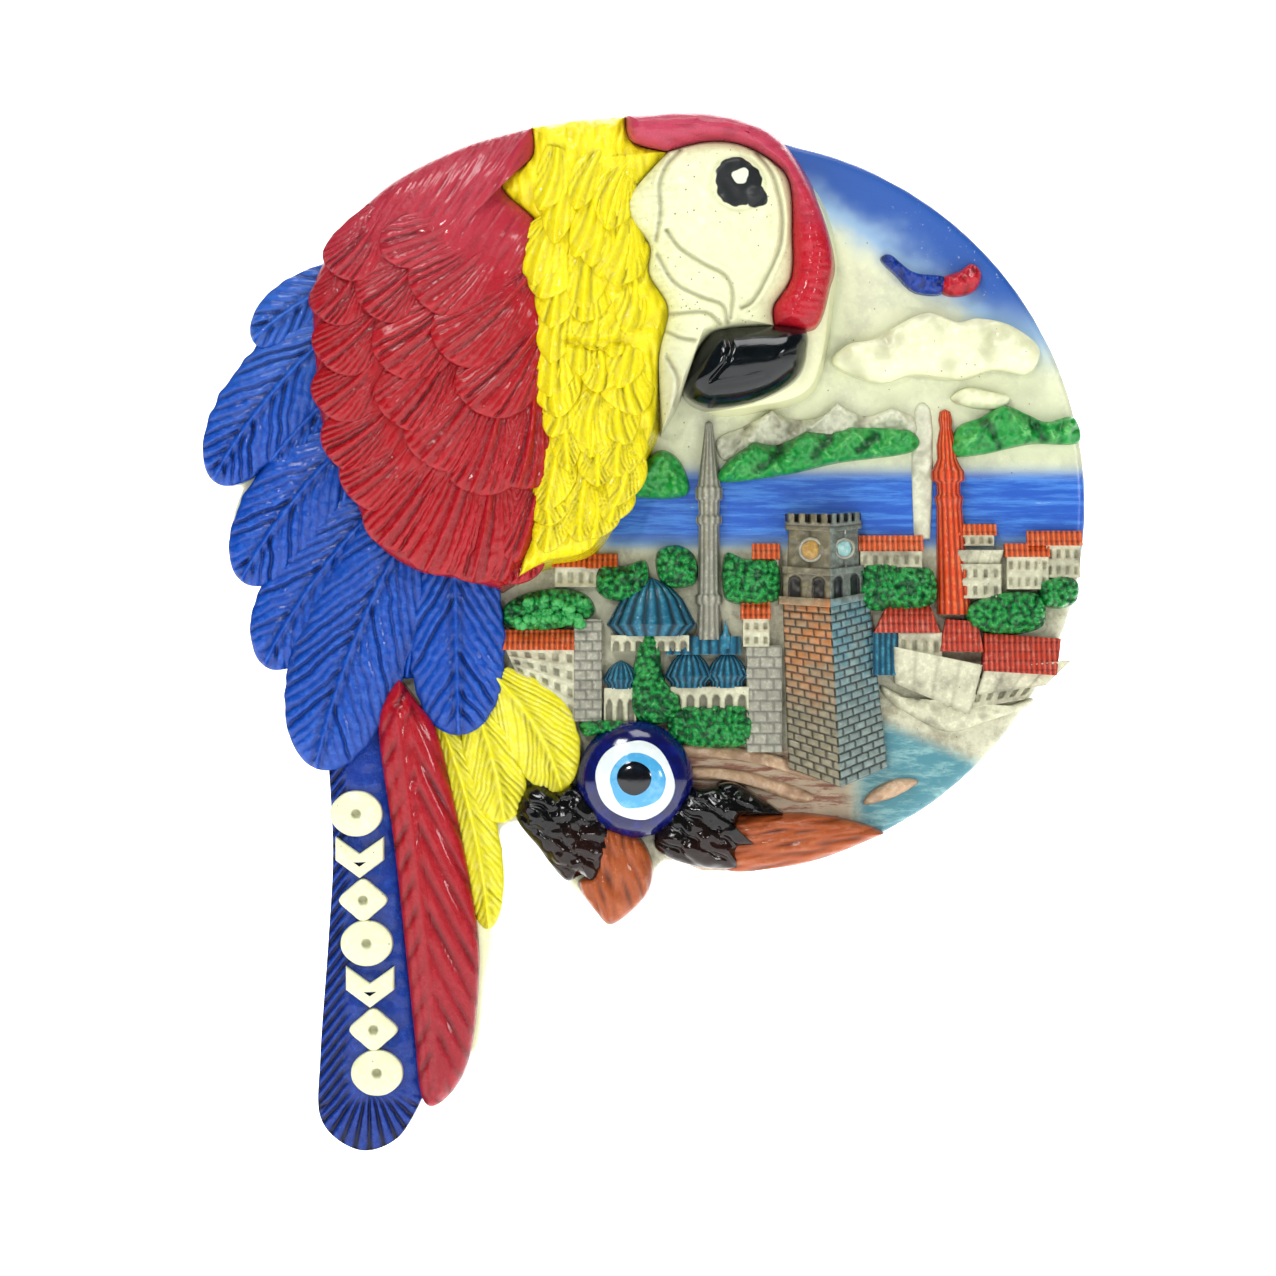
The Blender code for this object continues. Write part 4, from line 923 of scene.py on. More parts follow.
def carvings():
    """Seven raised ornaments: lozenge, chevron and rosette in turn."""
    shapes = [
        ([(0.4, 1), (1, 0.4), (1, -0.4), (0.4, -1), (-0.4, -1), (-1, -0.4), (-1, 0.4),
          (-0.4, 1)], [(-0.3, 0), (0.3, 0)]),
        (sharp([(-1, 0.95), (0, 0.15), (1, 0.95), (1, -0.15), (0, -1), (-1, -0.15)]),
         [(-0.7, 0.1), (0, -0.45), (0.7, 0.1)]),
        ([(0, 1), (0.5, 0.62), (1, 0), (0.5, -0.62), (0, -1), (-0.5, -0.62), (-1, 0),
          (-0.5, 0.62)], [(-0.25, 0), (0.25, 0)]),
    ]
    for k in range(ORNAMENT_COUNT):
        t = k / (ORNAMENT_COUNT - 1)
        cx = ORNAMENT_FIRST[0] + (ORNAMENT_LAST[0] - ORNAMENT_FIRST[0]) * t
        cz = ORNAMENT_FIRST[1] + (ORNAMENT_LAST[1] - ORNAMENT_FIRST[1]) * t
        outline, ridge = shapes[k % len(shapes)]
        wide, tall = 2.1, 1.85
        outline = [(cx + wide * p[0], cz + tall * p[1]) + tuple(p[2:]) for p in outline]
        ridge = [(cx + wide * p[0], cz + tall * p[1]) for p in ridge]
        clay = Clay(f"tail_ornament_{k + 1}")
        hollow = 0.28 if k % 3 != 1 else 0.0

        def carved(x, z, q, cx=cx, cz=cz, hollow=hollow):
            pit = ease(1 - (hypot(x - cx, z - cz) - 0.28) / 0.22)
            return (0.05 * rough(x, z, 1.8, 4) - hollow * 1.6 * pit, hollow * 3.4 * pit,
                    0.5)
        mound(clay, outline, ridge, 7.3, 7.9, carved, 0.09, power=0.4)
        clay.done(CREAM, "cream_resin", f"tail_carving_{k + 1}")


def perch():
    """Black feet on the orange branch."""
    def bark(x, z, q):
        line = rough(x * 0.3 + z * 0.2, z * 1.9 - x * 0.3, 1.2, 3)
        return 0.30 * line, max(0.0, -line) * 0.9, max(0.0, line)

    def stub_bark(x, z, q):
        line = rough(x * 1.9 + z * 0.5, z * 0.35 - x * 0.1, 1.2, 7)
        return 0.30 * line, max(0.0, -line) * 0.9, max(0.0, line)

    def scaly(x, z, q):
        fold = rough(x, z, 1.1, 2)
        chip = rough(x, z, 2.6, 5)
        line = groove(x * 0.7 + z * 1.1 + 0.6 * fold, 2.1, 5.0)
        return 0.30 * fold + 0.04 * chip - 0.24 * line, max(0.0, -fold) * 0.4, 0.1
    for name, outline, ridge, rim, crown, rule, mat, slot, node in (
            ("branch_log", BRANCH_MAIN, [(3.5, -29.2), (12.0, -28.8)], 6.0, 7.5, bark,
             ORANGE_WOOD, "orange_enamel", "branch_main"),
            ("branch_end", BRANCH_STUB, [(-9.0, -30.0), (-9.0, -34.4)], 6.2, 7.8, stub_bark,
             ORANGE_WOOD, "orange_enamel", "branch_stub"),
            ("foot_black_left", FOOT_LEFT, [(-14.8, -26.8), (-12.0, -30.8)], 6.6, 8.4, scaly,
             BLACK, "black_enamel", "foot_left"),
            ("foot_black_right", FOOT_RIGHT, [(0.6, -26.6), (-2.0, -29.4)], 6.6, 8.3, scaly,
             BLACK, "black_enamel", "foot_right")):
        clay = Clay(name)
        mound(clay, outline, ridge, rim, crown, rule, 0.12)
        clay.done(mat, slot, node)


# ---- town helpers ------------------------------------------------------------------------------
def joint(along, down, length, course, seam):
    """1 in the joints of courses laid half a block apart, 0 on the blocks."""
    row = floor(down / course)
    rise = down - row * course
    slide = ((along / length + 0.5 * (row % 2)) % 1.0) * length
    return ease(1 - min(rise, course - rise, slide, length - slide) / seam)


def masonry(left, right, length, course, seam):
    """Block wall whose depth runs from its left edge to its right edge."""
    def rule(u, v, x, z):
        block = joint(x, -z, length, course, seam)
        lumpy = rough(x, z, 1.6, 3)
        depth = left + (right - left) * u - 0.16 * block + 0.08 * lumpy
        return depth, 0.75 * block, 0.5 + 0.5 * lumpy
    return rule


def windowed(depth, columns, rows, seed=0):
    """Plastered wall with rows of small dark windows."""
    def rule(u, v, x, z):
        column, row = u * columns % 1.0 - 0.5, v * rows % 1.0 - 0.55
        hole = ease((0.20 - abs(column)) / 0.07 + 0.5) * ease((0.24 - abs(row)) / 0.08 + 0.5)
        ledge = groove(v * rows, 1.0, 14)
        lumpy = rough(x, z, 1.4, seed)
        return (depth - 0.32 * hole + 0.10 * ledge + 0.10 * lumpy,
                0.62 * hole * (0.35 + 0.65 * chance(floor(u * columns), floor(v * rows), seed))
                + 0.5 * max(0.0, -lumpy), 0.4 + 0.4 * lumpy)
    return rule


def arcade(depth, columns, seed=0):
    """Wall with a row of round-headed arches."""
    def rule(u, v, x, z):
        column = abs(u * columns % 1.0 - 0.5)
        head = 0.30 + 0.42 * (1 - sqrt(max(0.0, 1 - (column / 0.34) ** 2)))
        hole = ease((0.33 - column) / 0.07) * ease((v - head) / 0.08)
        lumpy = rough(x, z, 1.4, seed)
        return (depth - 0.35 * hole + 0.08 * lumpy, 0.95 * hole + 0.3 * max(0.0, -lumpy),
                0.4 + 0.4 * lumpy)
    return rule


def tiled(ridge, eave):
    """Pantile roof that comes forward from its ridge to its eave."""
    def rule(u, v, x, z):
        seam = groove(x, TILE_PITCH, 1.4)
        row = groove(z + 0.05 * seam, 0.8, 7.0)
        lumpy = rough(x, z, 1.3, 4)
        return (ridge + (eave - ridge) * v - 0.17 * seam - 0.07 * row + 0.07 * lumpy,
                0.7 * seam + 0.3 * row, 0.45 + 0.5 * lumpy)
    return rule


def pressed(clay, middle, profile, press, back, ribs=0, cut=0.12, lean=0.0):
    """Half of a turned shape standing out of the plate. The profile is (height, half width)
    from the top down."""
    length = sum(hypot(a[0] - b[0], a[1] - b[1]) for a, b in zip(profile, profile[1:]))
    rows = max(10, int(length / PRESSED_GRAIN))
    line = spread(profile, rows) + [profile[-1]]
    widest = max(p[1] for p in profile)
    across = max(12, int(widest * pi / PRESSED_GRAIN)) + 2

    def rule(u, v):
        i = round(u * across)
        z, w = line[round(v * rows)]
        a = (max(1, min(across - 1, i)) - 1) / (across - 2) * pi
        flute = groove(a * ribs / pi, 1.0, 1.5) if ribs else 0.0
        lumpy = rough(middle + a, z, 1.5, 2)
        x = middle - w * cos(a) + lean * (z - line[0][0])
        depth = back + w * sin(a) * press - cut * flute * w / widest
        # darker in the flutes (paint washes and painted shade) and on the flanks that turn away
        # (painted shade)
        wash = 0.8 * flute + 0.35 * abs(cos(a)) ** 3
        # the edge at the plate is darker: painted shade
        if i in (0, across):
            return x, z, BASE, 0.8, 0.0
        return x, z, depth + 0.05 * lumpy, wash, 0.5 + 0.4 * lumpy
    clay.sheet(across, rows, rule, join=True)


def leafy(scale=1.0, height=0.7, seed=1):
    """Clumps of leaves with dark gaps between them."""
    def rule(x, z, q):
        gap = noise.voronoi(Vector((x * scale, seed * 3.1, z * scale)))[0][0]
        fine = rough(x, z, 3.4, seed)
        # dark gaps between clumps are painted shade, pale clump centres painted highlight
        return (height * (0.5 - gap) + 0.26 * fine, 0.75 * ease((gap - 0.42) / 0.3),
                ease((0.36 - gap) / 0.3) + 0.6 * fine)
    return rule


def rocky(scale=0.9, height=0.35, seed=1):
    """Broken ground, darker in the hollows: paint washes and painted shade."""
    def rule(x, z, q):
        broad = rough(x, z, scale, seed)
        fine = rough(x, z, scale * 2.6, seed + 3)
        return (height * broad + 0.12 * fine, max(0.0, -broad) * 0.9 + 0.2 * max(0.0, -fine),
                0.35 + 0.6 * broad)
    return rule


def slopes(spurs, gullies=(), seed=1):
    """Hillside with pale spurs running down from small summits and dark gullies between."""
    spurs = [curved(line, 2) for line in spurs]
    gullies = [curved(line, 2) for line in gullies]

    def rule(x, z, q):
        bent = 0.35 * rough(x, z, 1.3, seed)
        spur = ease(1 - (line_gap(spurs, x, z) + bent) / 0.75)
        gully = ease(1 - (line_gap(gullies, x, z) + bent) / 0.7) if gullies else 0.0
        leaf = rough(x, z, 2.6, seed)
        # pale spurs are partly painted highlight, dark gullies partly painted shade
        return (0.6 * spur - 0.35 * gully + 0.22 * leaf, 0.75 * gully + 0.7 * max(0.0, -leaf),
                spur * spur + 0.6 * max(0.0, leaf))
    return rule


def four(left, top, right, low):
    """Corners of an upright wall or roof."""
    return [(left, top), (right, top), (right, low), (left, low)]


def sloping(*corners):
    """Corners of a wall or roof seen at a slant, clockwise from its top left."""
    return list(corners)


LEFT_SPURS = [[(-5.0, 4.2), (-6.2, 2.8), (-7.2, 1.6)], [(-5.0, 4.2), (-4.0, 2.4), (-3.8, 1.2)]]
MID_SPURS = [[(3.2, 5.0), (2.2, 4.2), (0.9, 2.8)], [(3.2, 5.0), (4.4, 4.0), (5.2, 3.0)],
             [(7.6, 6.0), (6.4, 4.8), (5.9, 3.6)], [(7.6, 6.0), (8.9, 5.0), (9.8, 3.9)],
             [(11.6, 6.3), (10.8, 5.1)], [(11.6, 6.3), (12.9, 5.3), (13.6, 4.4)],
             [(15.4, 6.6), (14.6, 5.2)]]
MID_GULLIES = [[(5.3, 5.0), (4.9, 4.2), (3.4, 3.0)], [(9.6, 6.0), (8.4, 4.2)],
               [(13.6, 6.0), (12.2, 4.6)]]
RIGHT_SPURS = [[(24.9, 8.3), (23.4, 6.8), (21.4, 5.2)], [(24.9, 8.3), (26.4, 6.8), (27.2, 5.6)],
               [(28.6, 7.1), (29.2, 5.9)], [(31.0, 7.3), (30.2, 6.2)]]
RIGHT_GULLIES = [[(23.2, 7.2), (24.4, 5.2)], [(27.4, 7.2), (28.2, 5.6)]]
SNOW_SPURS = [[(4.6, 8.1), (3.6, 7.0), (2.8, 5.8)], [(4.6, 8.1), (5.8, 7.0)],
              [(10.3, 8.8), (9.2, 7.6), (8.2, 6.9)], [(10.3, 8.8), (11.6, 7.6)],
              [(15.0, 8.3), (13.9, 7.3)], [(15.0, 8.3), (16.2, 7.2)]]
SNOW_GULLIES = [[(6.9, 7.4), (6.2, 6.4)], [(12.8, 7.7), (12.4, 6.9)], [(2.4, 6.8), (1.6, 5.6)]]


# ---- sky and far shore -------------------------------------------------------------------------
CLOUD_LONG = [(10.0, 12.2), (11.2, 13.9), (13.6, 14.4), (15.6, 15.6), (18.2, 16.7),
              (20.8, 15.9), (22.6, 16.2), (25.4, 15.6), (27.9, 13.6), (27.0, 11.4),
              (24.0, 11.7), (21.0, 10.9), (17.0, 11.3), (14.0, 10.6)]
CLOUD_SMALL = [(20.3, 9.2), (21.6, 10.2), (23.4, 9.9), (25.4, 9.4), (24.6, 8.4), (22.2, 8.5)]
GULL_LEFT = [(14.2, 21.3), (15.0, 21.8), (17.0, 20.3), (19.6, 19.9), (19.8, 18.9),
             (19.0, 18.3), (17.0, 18.6), (15.6, 19.9)]
GULL_RIGHT = [(19.6, 19.8), (21.0, 20.3), (22.1, 21.0), (22.9, 20.1), (22.3, 18.7),
              (20.6, 18.2), (19.5, 18.6)]
SNOW_RIDGE = [(-0.1, 5.7), (2.4, 6.9), (4.6, 8.2, SHARP), (6.7, 7.4), (9.0, 7.7),
              (10.3, 8.9, SHARP), (12.7, 7.7), (15.0, 8.4, SHARP), (17.0, 7.6), (16.8, 6.1),
              (11.6, 6.1), (6.9, 5.4), (2.6, 4.7), (0.5, 3.9)]
HILLS_LEFT = [(-8.1, 0.9), (-7.6, 2.6), (-6.2, 3.9), (-4.8, 4.7), (-3.2, 3.4), (-3.0, 0.8)]
HILLS_MID = [(0.3, 2.0), (0.7, 3.7), (3.2, 5.5, SHARP), (5.2, 5.2), (7.6, 6.4, SHARP),
             (9.6, 6.2), (11.6, 6.7, SHARP), (16.7, 6.4), (16.8, 4.6), (10.0, 3.6), (5.8, 2.6)]
HILLS_RIGHT = [(20.4, 4.4), (20.9, 6.7), (23.0, 7.6), (24.9, 8.6), (27.0, 7.8), (28.6, 7.2),
               (30.9, 7.6), (31.3, 5.4), (27.0, 5.3), (23.0, 4.4)]
PILLAR = [(17.2, 8.3), (18.5, 8.2), (18.7, 3.0), (18.5, -3.0, SHARP), (17.1, -3.0, SHARP),
          (16.9, 3.0)]


def sky_and_shore():
    """Clouds, gull, snow ridge and hills."""
    for name, outline, ridge, rim, crown, rule, mat, slot, nodes in (
            ("cloud_bank", CLOUD_LONG, [(13.0, 12.6), (25.5, 13.4)], 6.1, 7.2,
             rocky(0.45, 0.35, 4), CREAM, "cream_resin", ["cloud_long"]),
            ("cloud_puff", CLOUD_SMALL, [(21.6, 9.3), (24.2, 9.1)], 5.5, 6.1,
             rocky(0.8, 0.2, 6), CREAM, "cream_resin", []),
            ("gull_wing_left", GULL_LEFT, [(15.4, 20.8), (18.8, 19.2)], 5.5, 6.4,
             rocky(1.6, 0.15, 2), BLUE_DEEP, "blue_enamel", ["gull"]),
            ("gull_wing_right", GULL_RIGHT, [(20.2, 19.2), (22.2, 19.8)], 5.5, 6.4,
             rocky(1.6, 0.15, 3), RED_SMOOTH, "red_enamel", []),
            ("ridge_of_snow", SNOW_RIDGE, [(2.2, 5.9), (15.8, 7.1)], 5.3, 5.8,
             slopes(SNOW_SPURS, SNOW_GULLIES, 8), SNOW, "snow_paint", ["snow_ridge"]),
            ("hill_left", HILLS_LEFT, [(-6.6, 2.0), (-4.4, 2.4)], 5.6, 6.5,
             slopes(LEFT_SPURS, (), 2), HILL, "green_enamel", []),
            ("hill_chain", HILLS_MID, [(2.0, 3.6), (15.8, 5.5)], 5.7, 6.8,
             slopes(MID_SPURS, MID_GULLIES, 3), HILL, "green_enamel", ["hills_mid"]),
            ("hill_right", HILLS_RIGHT, [(22.0, 5.8), (29.8, 6.4)], 5.7, 6.8,
             slopes(RIGHT_SPURS, RIGHT_GULLIES, 5), HILL, "green_enamel", ["hills_right"]),
            ("pillar_cream", PILLAR, [(17.8, 7.4), (17.8, -2.0)], 5.05, 5.35,
             rocky(0.7, 0.15, 7), SNOW, "cream_resin", [])):
        clay = Clay(name)
        mound(clay, outline, ridge, rim, crown, rule, 0.12, 0.1)
        clay.done(mat, slot, *nodes)


# ---- towers and domes --------------------------------------------------------------------------
def minarets():
    """Grey minaret at the left and orange minaret at the right."""
    clay = Clay("minaret_west")
    pressed(clay, -0.85, [(7.3, 0.05), (7.1, 0.32), (6.2, 0.42), (3.6, 0.75), (1.6, 1.0), (1.45, 1.2),
                          (0.5, 1.2), (0.3, 0.95), (-0.9, 0.9), (-1.1, 1.15), (-1.6, 1.15),
                          (-1.8, 0.9), (-7.8, 1.0), (-8.0, 1.25), (-8.6, 1.25), (-8.8, 1.0),
                          (-11.8, 1.15)], 0.85, 5.6, 6, 0.12)
    clay.done(GREY, "grey_wash", "minaret_grey")
    clay = Clay("minaret_east")
    pressed(clay, 19.75, [(8.3, 0.05), (8.1, 0.45), (7.4, 0.6), (6.7, 0.5), (5.2, 0.85),
                          (4.0, 0.85), (3.2, 1.2),
                          (2.9, 1.45), (2.1, 1.45), (1.9, 1.05), (0.9, 1.0), (0.6, 1.25),
                          (-0.2, 1.1), (-9.6, 1.5)], 0.85, 5.6, 7, 0.18, lean=-0.045)
    clay.done(ORANGE, "orange_enamel", "minaret_orange")


def mosque():
    """Ribbed domes over an arcaded wall, with a spire."""
    big = [(-6.4, 0.05), (-6.7, 0.8), (-7.3, 1.8), (-8.2, 2.7), (-9.2, 3.25), (-9.9, 3.6),
           (-10.5, 3.95), (-10.7, 3.7), (-11.5, 2.9)]

    def shrunk(top, size, low):
        return [(top + (z + 6.4) * size, w * size) for z, w in big] + [(low, 2.9 * size)]
    for name, middle, profile, node in (
            ("dome_great", -5.85, big, "dome_main"),
            ("dome_centre", -2.6, shrunk(-12.7, 0.56, -16.0), "dome_mid"),
            ("dome_east", 0.75, shrunk(-12.9, 0.50, -16.0), "dome_right"),
            ("dome_west", -8.5, shrunk(-13.6, 0.42, -16.1), None)):
        clay = Clay(name)
        pressed(clay, middle, profile, 0.62, 5.9, 9, 0.24)
        clay.done(TEAL, "teal_enamel", *([node] if node else []))
    clay = Clay("mosque_roof")
    panel(clay, four(-4.6, -11.5, 1.9, -13.1),
          lambda u, v, x, z: (6.3 + 0.5 * v - 0.14 * groove(x, 0.8, 2), 0.8 * groove(x, 0.8, 2),
                              0.4))
    pressed(clay, 0.6, [(-10.2, 0.05), (-11.2, 0.25), (-11.6, 0.5), (-12.6, 0.5)], 0.8, 6.2)
    clay.done(TEAL, "teal_enamel", "mosque_hall")
    clay = Clay("mosque_walls")
    panel(clay, four(-4.2, -15.9, 2.6, -17.9), arcade(6.6, 6, 3))
    panel(clay, four(-10.0, -16.0, -7.2, -18.9), arcade(6.4, 3, 5))
    panel(clay, four(-9.4, -11.4, -2.6, -12.8), arcade(6.9, 7, 6))
    clay.done(STONE, "stone_wash")


# left x, corner x, right x at the top and the foot, and the heights of both
TOWER_STAGES = [
    ("shaft", (5.6, 9.6, 13.1), (6.1, 10.5, 14.7), (-8.6, -8.9, -8.1), (-23.0, -24.6, -22.9)),
    ("collar", (5.2, 9.6, 12.8), (5.2, 9.6, 12.8), (-8.0, -8.3, -7.7), (-8.7, -9.0, -8.3)),
    ("belfry", (5.6, 9.6, 12.5), (5.6, 9.6, 12.6), (-5.8, -6.0, -5.6), (-8.1, -8.4, -7.8)),
    ("sill", (5.5, 9.6, 12.6), (5.5, 9.6, 12.6), (-5.4, -5.7, -5.3), (-6.0, -6.3, -5.8)),
    ("head", (6.1, 9.6, 12.1), (6.0, 9.6, 12.2), (-2.1, -2.3, -2.0), (-5.5, -5.8, -5.4)),
    ("parapet", (5.8, 9.6, 12.4), (5.8, 9.6, 12.4), (-0.8, -0.9, -0.7), (-2.2, -2.5, -2.1)),
]
TOWER_EDGE = {"shaft": (6.3, 8.4), "collar": (6.9, 9.1), "belfry": (6.5, 8.6),
              "sill": (6.9, 9.1), "head": (6.6, 8.7), "parapet": (6.8, 8.9)}


def tower_face(stage, left, low, high):
    """Surface rule for one side of one stage of the clock tower."""
    def rule(u, v, x, z):
        depth = low + (high - low) * (u if left else 1 - u)
        lumpy = rough(x, z, 1.7, 5 if left else 8)
        wash, lift, cut = 0.2 * max(0.0, -lumpy), 0.45 + 0.5 * lumpy, 0.0
        if stage == "shaft":
            block = joint(u * 4.2, v * 14.6, 1.05, 0.665, 0.13)
            wash, cut = max(wash, block), 0.26 * block
        elif stage == "belfry":
            column = abs(u * 2 % 1.0 - 0.5)
            head = 0.12 + 0.30 * (1 - sqrt(max(0.0, 1 - (column / 0.30) ** 2)))
            hole = ease((0.29 - column) / 0.06) * ease((v - head) / 0.1)
            wash, cut = max(wash, hole), 0.45 * hole
        elif stage == "parapet":
            gap = ease((abs(u * 4 % 1.0 - 0.5) - 0.27) / 0.06) * ease((0.55 - v) / 0.08)
            line = groove(v - 0.72, 2.0, 90)
            wash, cut = max(wash, gap, 0.6 * line), 1.2 * gap + 0.12 * line
        elif stage == "head":
            frame_line = groove(u - 0.5, 1.0, 60)
            wash, cut = max(wash, 0.5 * frame_line), 0.1 * frame_line
        return depth - cut + 0.07 * lumpy, wash, lift
    return rule


def clock_tower():
    """Two walls of the tower, stage by stage, and a dial on each."""
    for left, name, mat, node in ((True, "clock_tower_west_side", TOWER_WARM, "clock_shaft"),
                                  (False, "clock_tower_east_side", TOWER_COOL, "clock_head")):
        clay = Clay(name)
        a, b = (0, 1) if left else (1, 2)
        for stage, top_x, low_x, top_z, low_z in TOWER_STAGES:
            low, high = TOWER_EDGE[stage]
            corners = sloping((top_x[a], top_z[a]), (top_x[b], top_z[b]),
                              (low_x[b], low_z[b]), (low_x[a], low_z[a]))
            panel(clay, corners, tower_face(stage, left, low, high), 0.09)
        clay.done(mat, "stone_wash", node)
    for name, x, z, radius, depth, mat in (
            ("clock_dial_west", 7.95, -4.0, 0.95, 7.85, DIAL_GOLD),
            ("clock_dial_east", 10.85, -3.9, 0.80, 7.95, DIAL_PALE)):
        clay = Clay(name)
        clay.lump(x, z, depth, radius, 0.35, fine=4)
        clay.done(mat, "stone_wash")
        clay = Clay(name + "_ring")
        hoop(clay, x, z, depth + 0.2, radius, 0.13)
        clay.done(GREY, "grey_wash")


def hoop(clay, x, z, depth, radius, thickness):
    """Round frame about a dial."""
    made = bmesh.ops.create_grid(clay.bm, x_segments=36, y_segments=10, size=0.5)
    for vert in made["verts"]:
        turn, section = 2 * pi * (vert.co.x + 0.5), 2 * pi * (vert.co.y + 0.5)
        reach = radius + thickness * cos(section)
        vert.co = spot(x + reach * cos(turn), z + reach * sin(turn),
                       depth + thickness * sin(section))
        vert[clay.wash] = 0.2
        vert[clay.lift] = 0.5
    bmesh.ops.remove_doubles(clay.bm, verts=made["verts"], dist=0.002 * MM)
    bmesh.ops.recalc_face_normals(clay.bm, faces=clay.bm.faces)


# ---- houses, trees and harbour -----------------------------------------------------------------
GROVES = [
    ("grove_harbour", [(12.5, -5.7), (14.0, -5.2), (16.4, -5.5), (18.6, -5.8), (18.7, -8.6),
                       (15.0, -9.2), (12.6, -8.8)], (14.0, -7.2), (17.4, -7.2), None),
    ("grove_west", [(-10.4, -5.6), (-8.3, -5.4), (-6.4, -5.0), (-6.4, -7.3), (-8.6, -8.4),
                    (-10.5, -7.6)], (-9.2, -6.8), (-7.6, -6.6), None),
    ("grove_domes", [(-5.3, -4.2), (-3.6, -3.6), (-2.1, -4.6), (-2.1, -6.8), (-4.0, -7.2),
                     (-5.2, -6.3)], (-4.2, -5.4), (-3.2, -5.4), None),
    ("grove_middle", [(0.6, -4.4), (2.4, -4.8), (5.0, -5.0), (5.2, -8.0), (3.9, -8.6),
                      (1.6, -8.6), (0.5, -7.8)], (2.0, -6.4), (3.9, -6.4), "grove_mid"),
    ("grove_shore", [(21.9, -8.8), (25.0, -7.7), (28.0, -8.0), (28.2, -10.6), (25.0, -11.3),
                     (22.0, -10.6)], (23.4, -9.6), (27.0, -9.4), "grove_coast"),
    ("grove_point", [(28.1, -6.9), (30.0, -6.3), (31.3, -6.9), (31.0, -8.6), (29.2, -9.0),
                     (28.2, -8.4)], (29.0, -7.7), (30.2, -7.6), None),
    ("thicket_west", [(-18.4, -8.6), (-15.0, -7.4), (-11.8, -7.8), (-11.0, -9.6),
                      (-14.5, -10.9), (-18.4, -10.6)], (-16.6, -9.4), (-13.0, -9.2), None),
    ("garden_hedge", [(-4.2, -18.0), (-1.0, -17.6), (2.4, -17.8), (2.5, -20.7), (-0.5, -21.2),
                      (-3.9, -20.5)], (-2.6, -19.2), (1.0, -19.2), "garden"),
    ("cypress_tall", [(-6.4, -10.8), (-5.3, -12.0), (-4.8, -15.2), (-3.5, -16.8),
                      (-3.4, -18.4), (-5.4, -19.1), (-7.3, -18.4), (-7.5, -15.0)],
     (-6.2, -12.6), (-5.6, -17.4), "cypress"),
    ("bush_gate", [(-12.0, -19.0), (-10.0, -18.8), (-8.0, -19.0), (-7.4, -20.4), (-9.6, -19.9),
                   (-11.6, -20.2)], (-10.8, -19.5), (-8.6, -19.6), None),
]
ROOFS = [
    (four(-18.9, -10.9, -12.6, -12.7), 6.2, 7.3), (four(-14.5, -4.1, -11.6, -5.5), 5.9, 6.7),
    (four(-11.6, -4.3, -8.8, -5.6), 5.8, 6.6), (four(2.9, -3.4, 5.3, -4.8), 5.9, 6.8),
    (four(1.9, -8.3, 4.5, -10.0), 6.2, 7.2), (four(12.2, -2.7, 17.8, -4.1), 5.9, 6.9),
    (four(24.9, -3.4, 28.8, -4.6), 6.0, 6.9), (four(26.9, -2.3, 31.7, -3.6), 5.8, 6.6),
    (four(20.8, -1.7, 24.2, -2.7), 5.9, 6.5),
]
RED_ROOFS = [
    (sloping((14.6, -8.9), (18.4, -8.8), (19.2, -11.2), (13.5, -11.2)), 6.4, 7.7),
    (sloping((19.8, -10.0), (22.5, -10.2), (23.0, -12.9), (19.2, -12.8)), 6.5, 7.7),
    (sloping((23.1, -11.2), (29.8, -11.7), (29.3, -14.9), (22.9, -14.5)), 6.5, 7.8),
]
WALLS = [
    ("house_walls_west", "house_left",
     [(sloping((-18.6, -12.6), (-12.4, -12.6), (-12.4, -18.9), (-17.4, -15.2)), 6.7, 5, 4),
      (four(-14.3, -5.4, -8.8, -7.2), 6.1, 6, 1)]),
    ("house_walls_shore", "houses_coast",
     [(four(12.3, -4.0, 17.7, -5.5), 6.4, 6, 1), (four(25.1, -4.5, 28.7, -7.4), 6.5, 5, 2),
      (four(28.5, -3.5, 31.5, -6.4), 6.2, 4, 2), (four(3.0, -4.7, 5.2, -5.8), 6.3, 2, 1),
      (four(21.0, -5.2, 24.6, -8.2), 6.4, 4, 2), (four(21.0, -2.6, 24.0, -3.6), 6.0, 4, 1),
      (four(2.1, -9.9, 4.4, -12.4), 6.5, 3, 2)]),
    ("house_walls_east", "terrace",
     [(sloping((15.6, -11.2), (19.4, -11.2), (19.4, -13.4), (15.6, -13.2)), 6.9, 4, 1),
      (sloping((22.2, -15.2), (28.6, -14.6), (26.6, -17.0), (21.9, -17.8)), 6.4, 5, 1)]),
]
QUAYS = [
    ("quay_west", [(-3.4, -20.9), (3.0, -21.4), (8.6, -23.2), (8.2, -24.1), (2.8, -22.5),
                   (-3.4, -21.9)], (-2.6, -21.4), (7.4, -23.4)),
    ("quay_low", [(-3.0, -23.0), (2.2, -23.3), (8.0, -25.2), (7.0, -26.0), (1.6, -24.3),
                  (-2.6, -23.9)], (-1.6, -23.5), (6.6, -25.3)),
    ("quay_corner", [(13.4, -25.0), (15.6, -24.0), (17.4, -24.2), (15.6, -25.4), (12.8, -26.2)],
     (13.6, -25.4), (16.2, -24.5)),
    ("quay_harbour", [(14.4, -15.8), (17.0, -17.3), (20.2, -18.9), (23.8, -18.0),
                      (27.2, -16.9), (26.8, -17.7), (23.6, -18.9), (20.0, -19.8),
                      (16.2, -18.0), (14.4, -16.6)], (15.4, -16.8), (25.8, -17.6)),
]


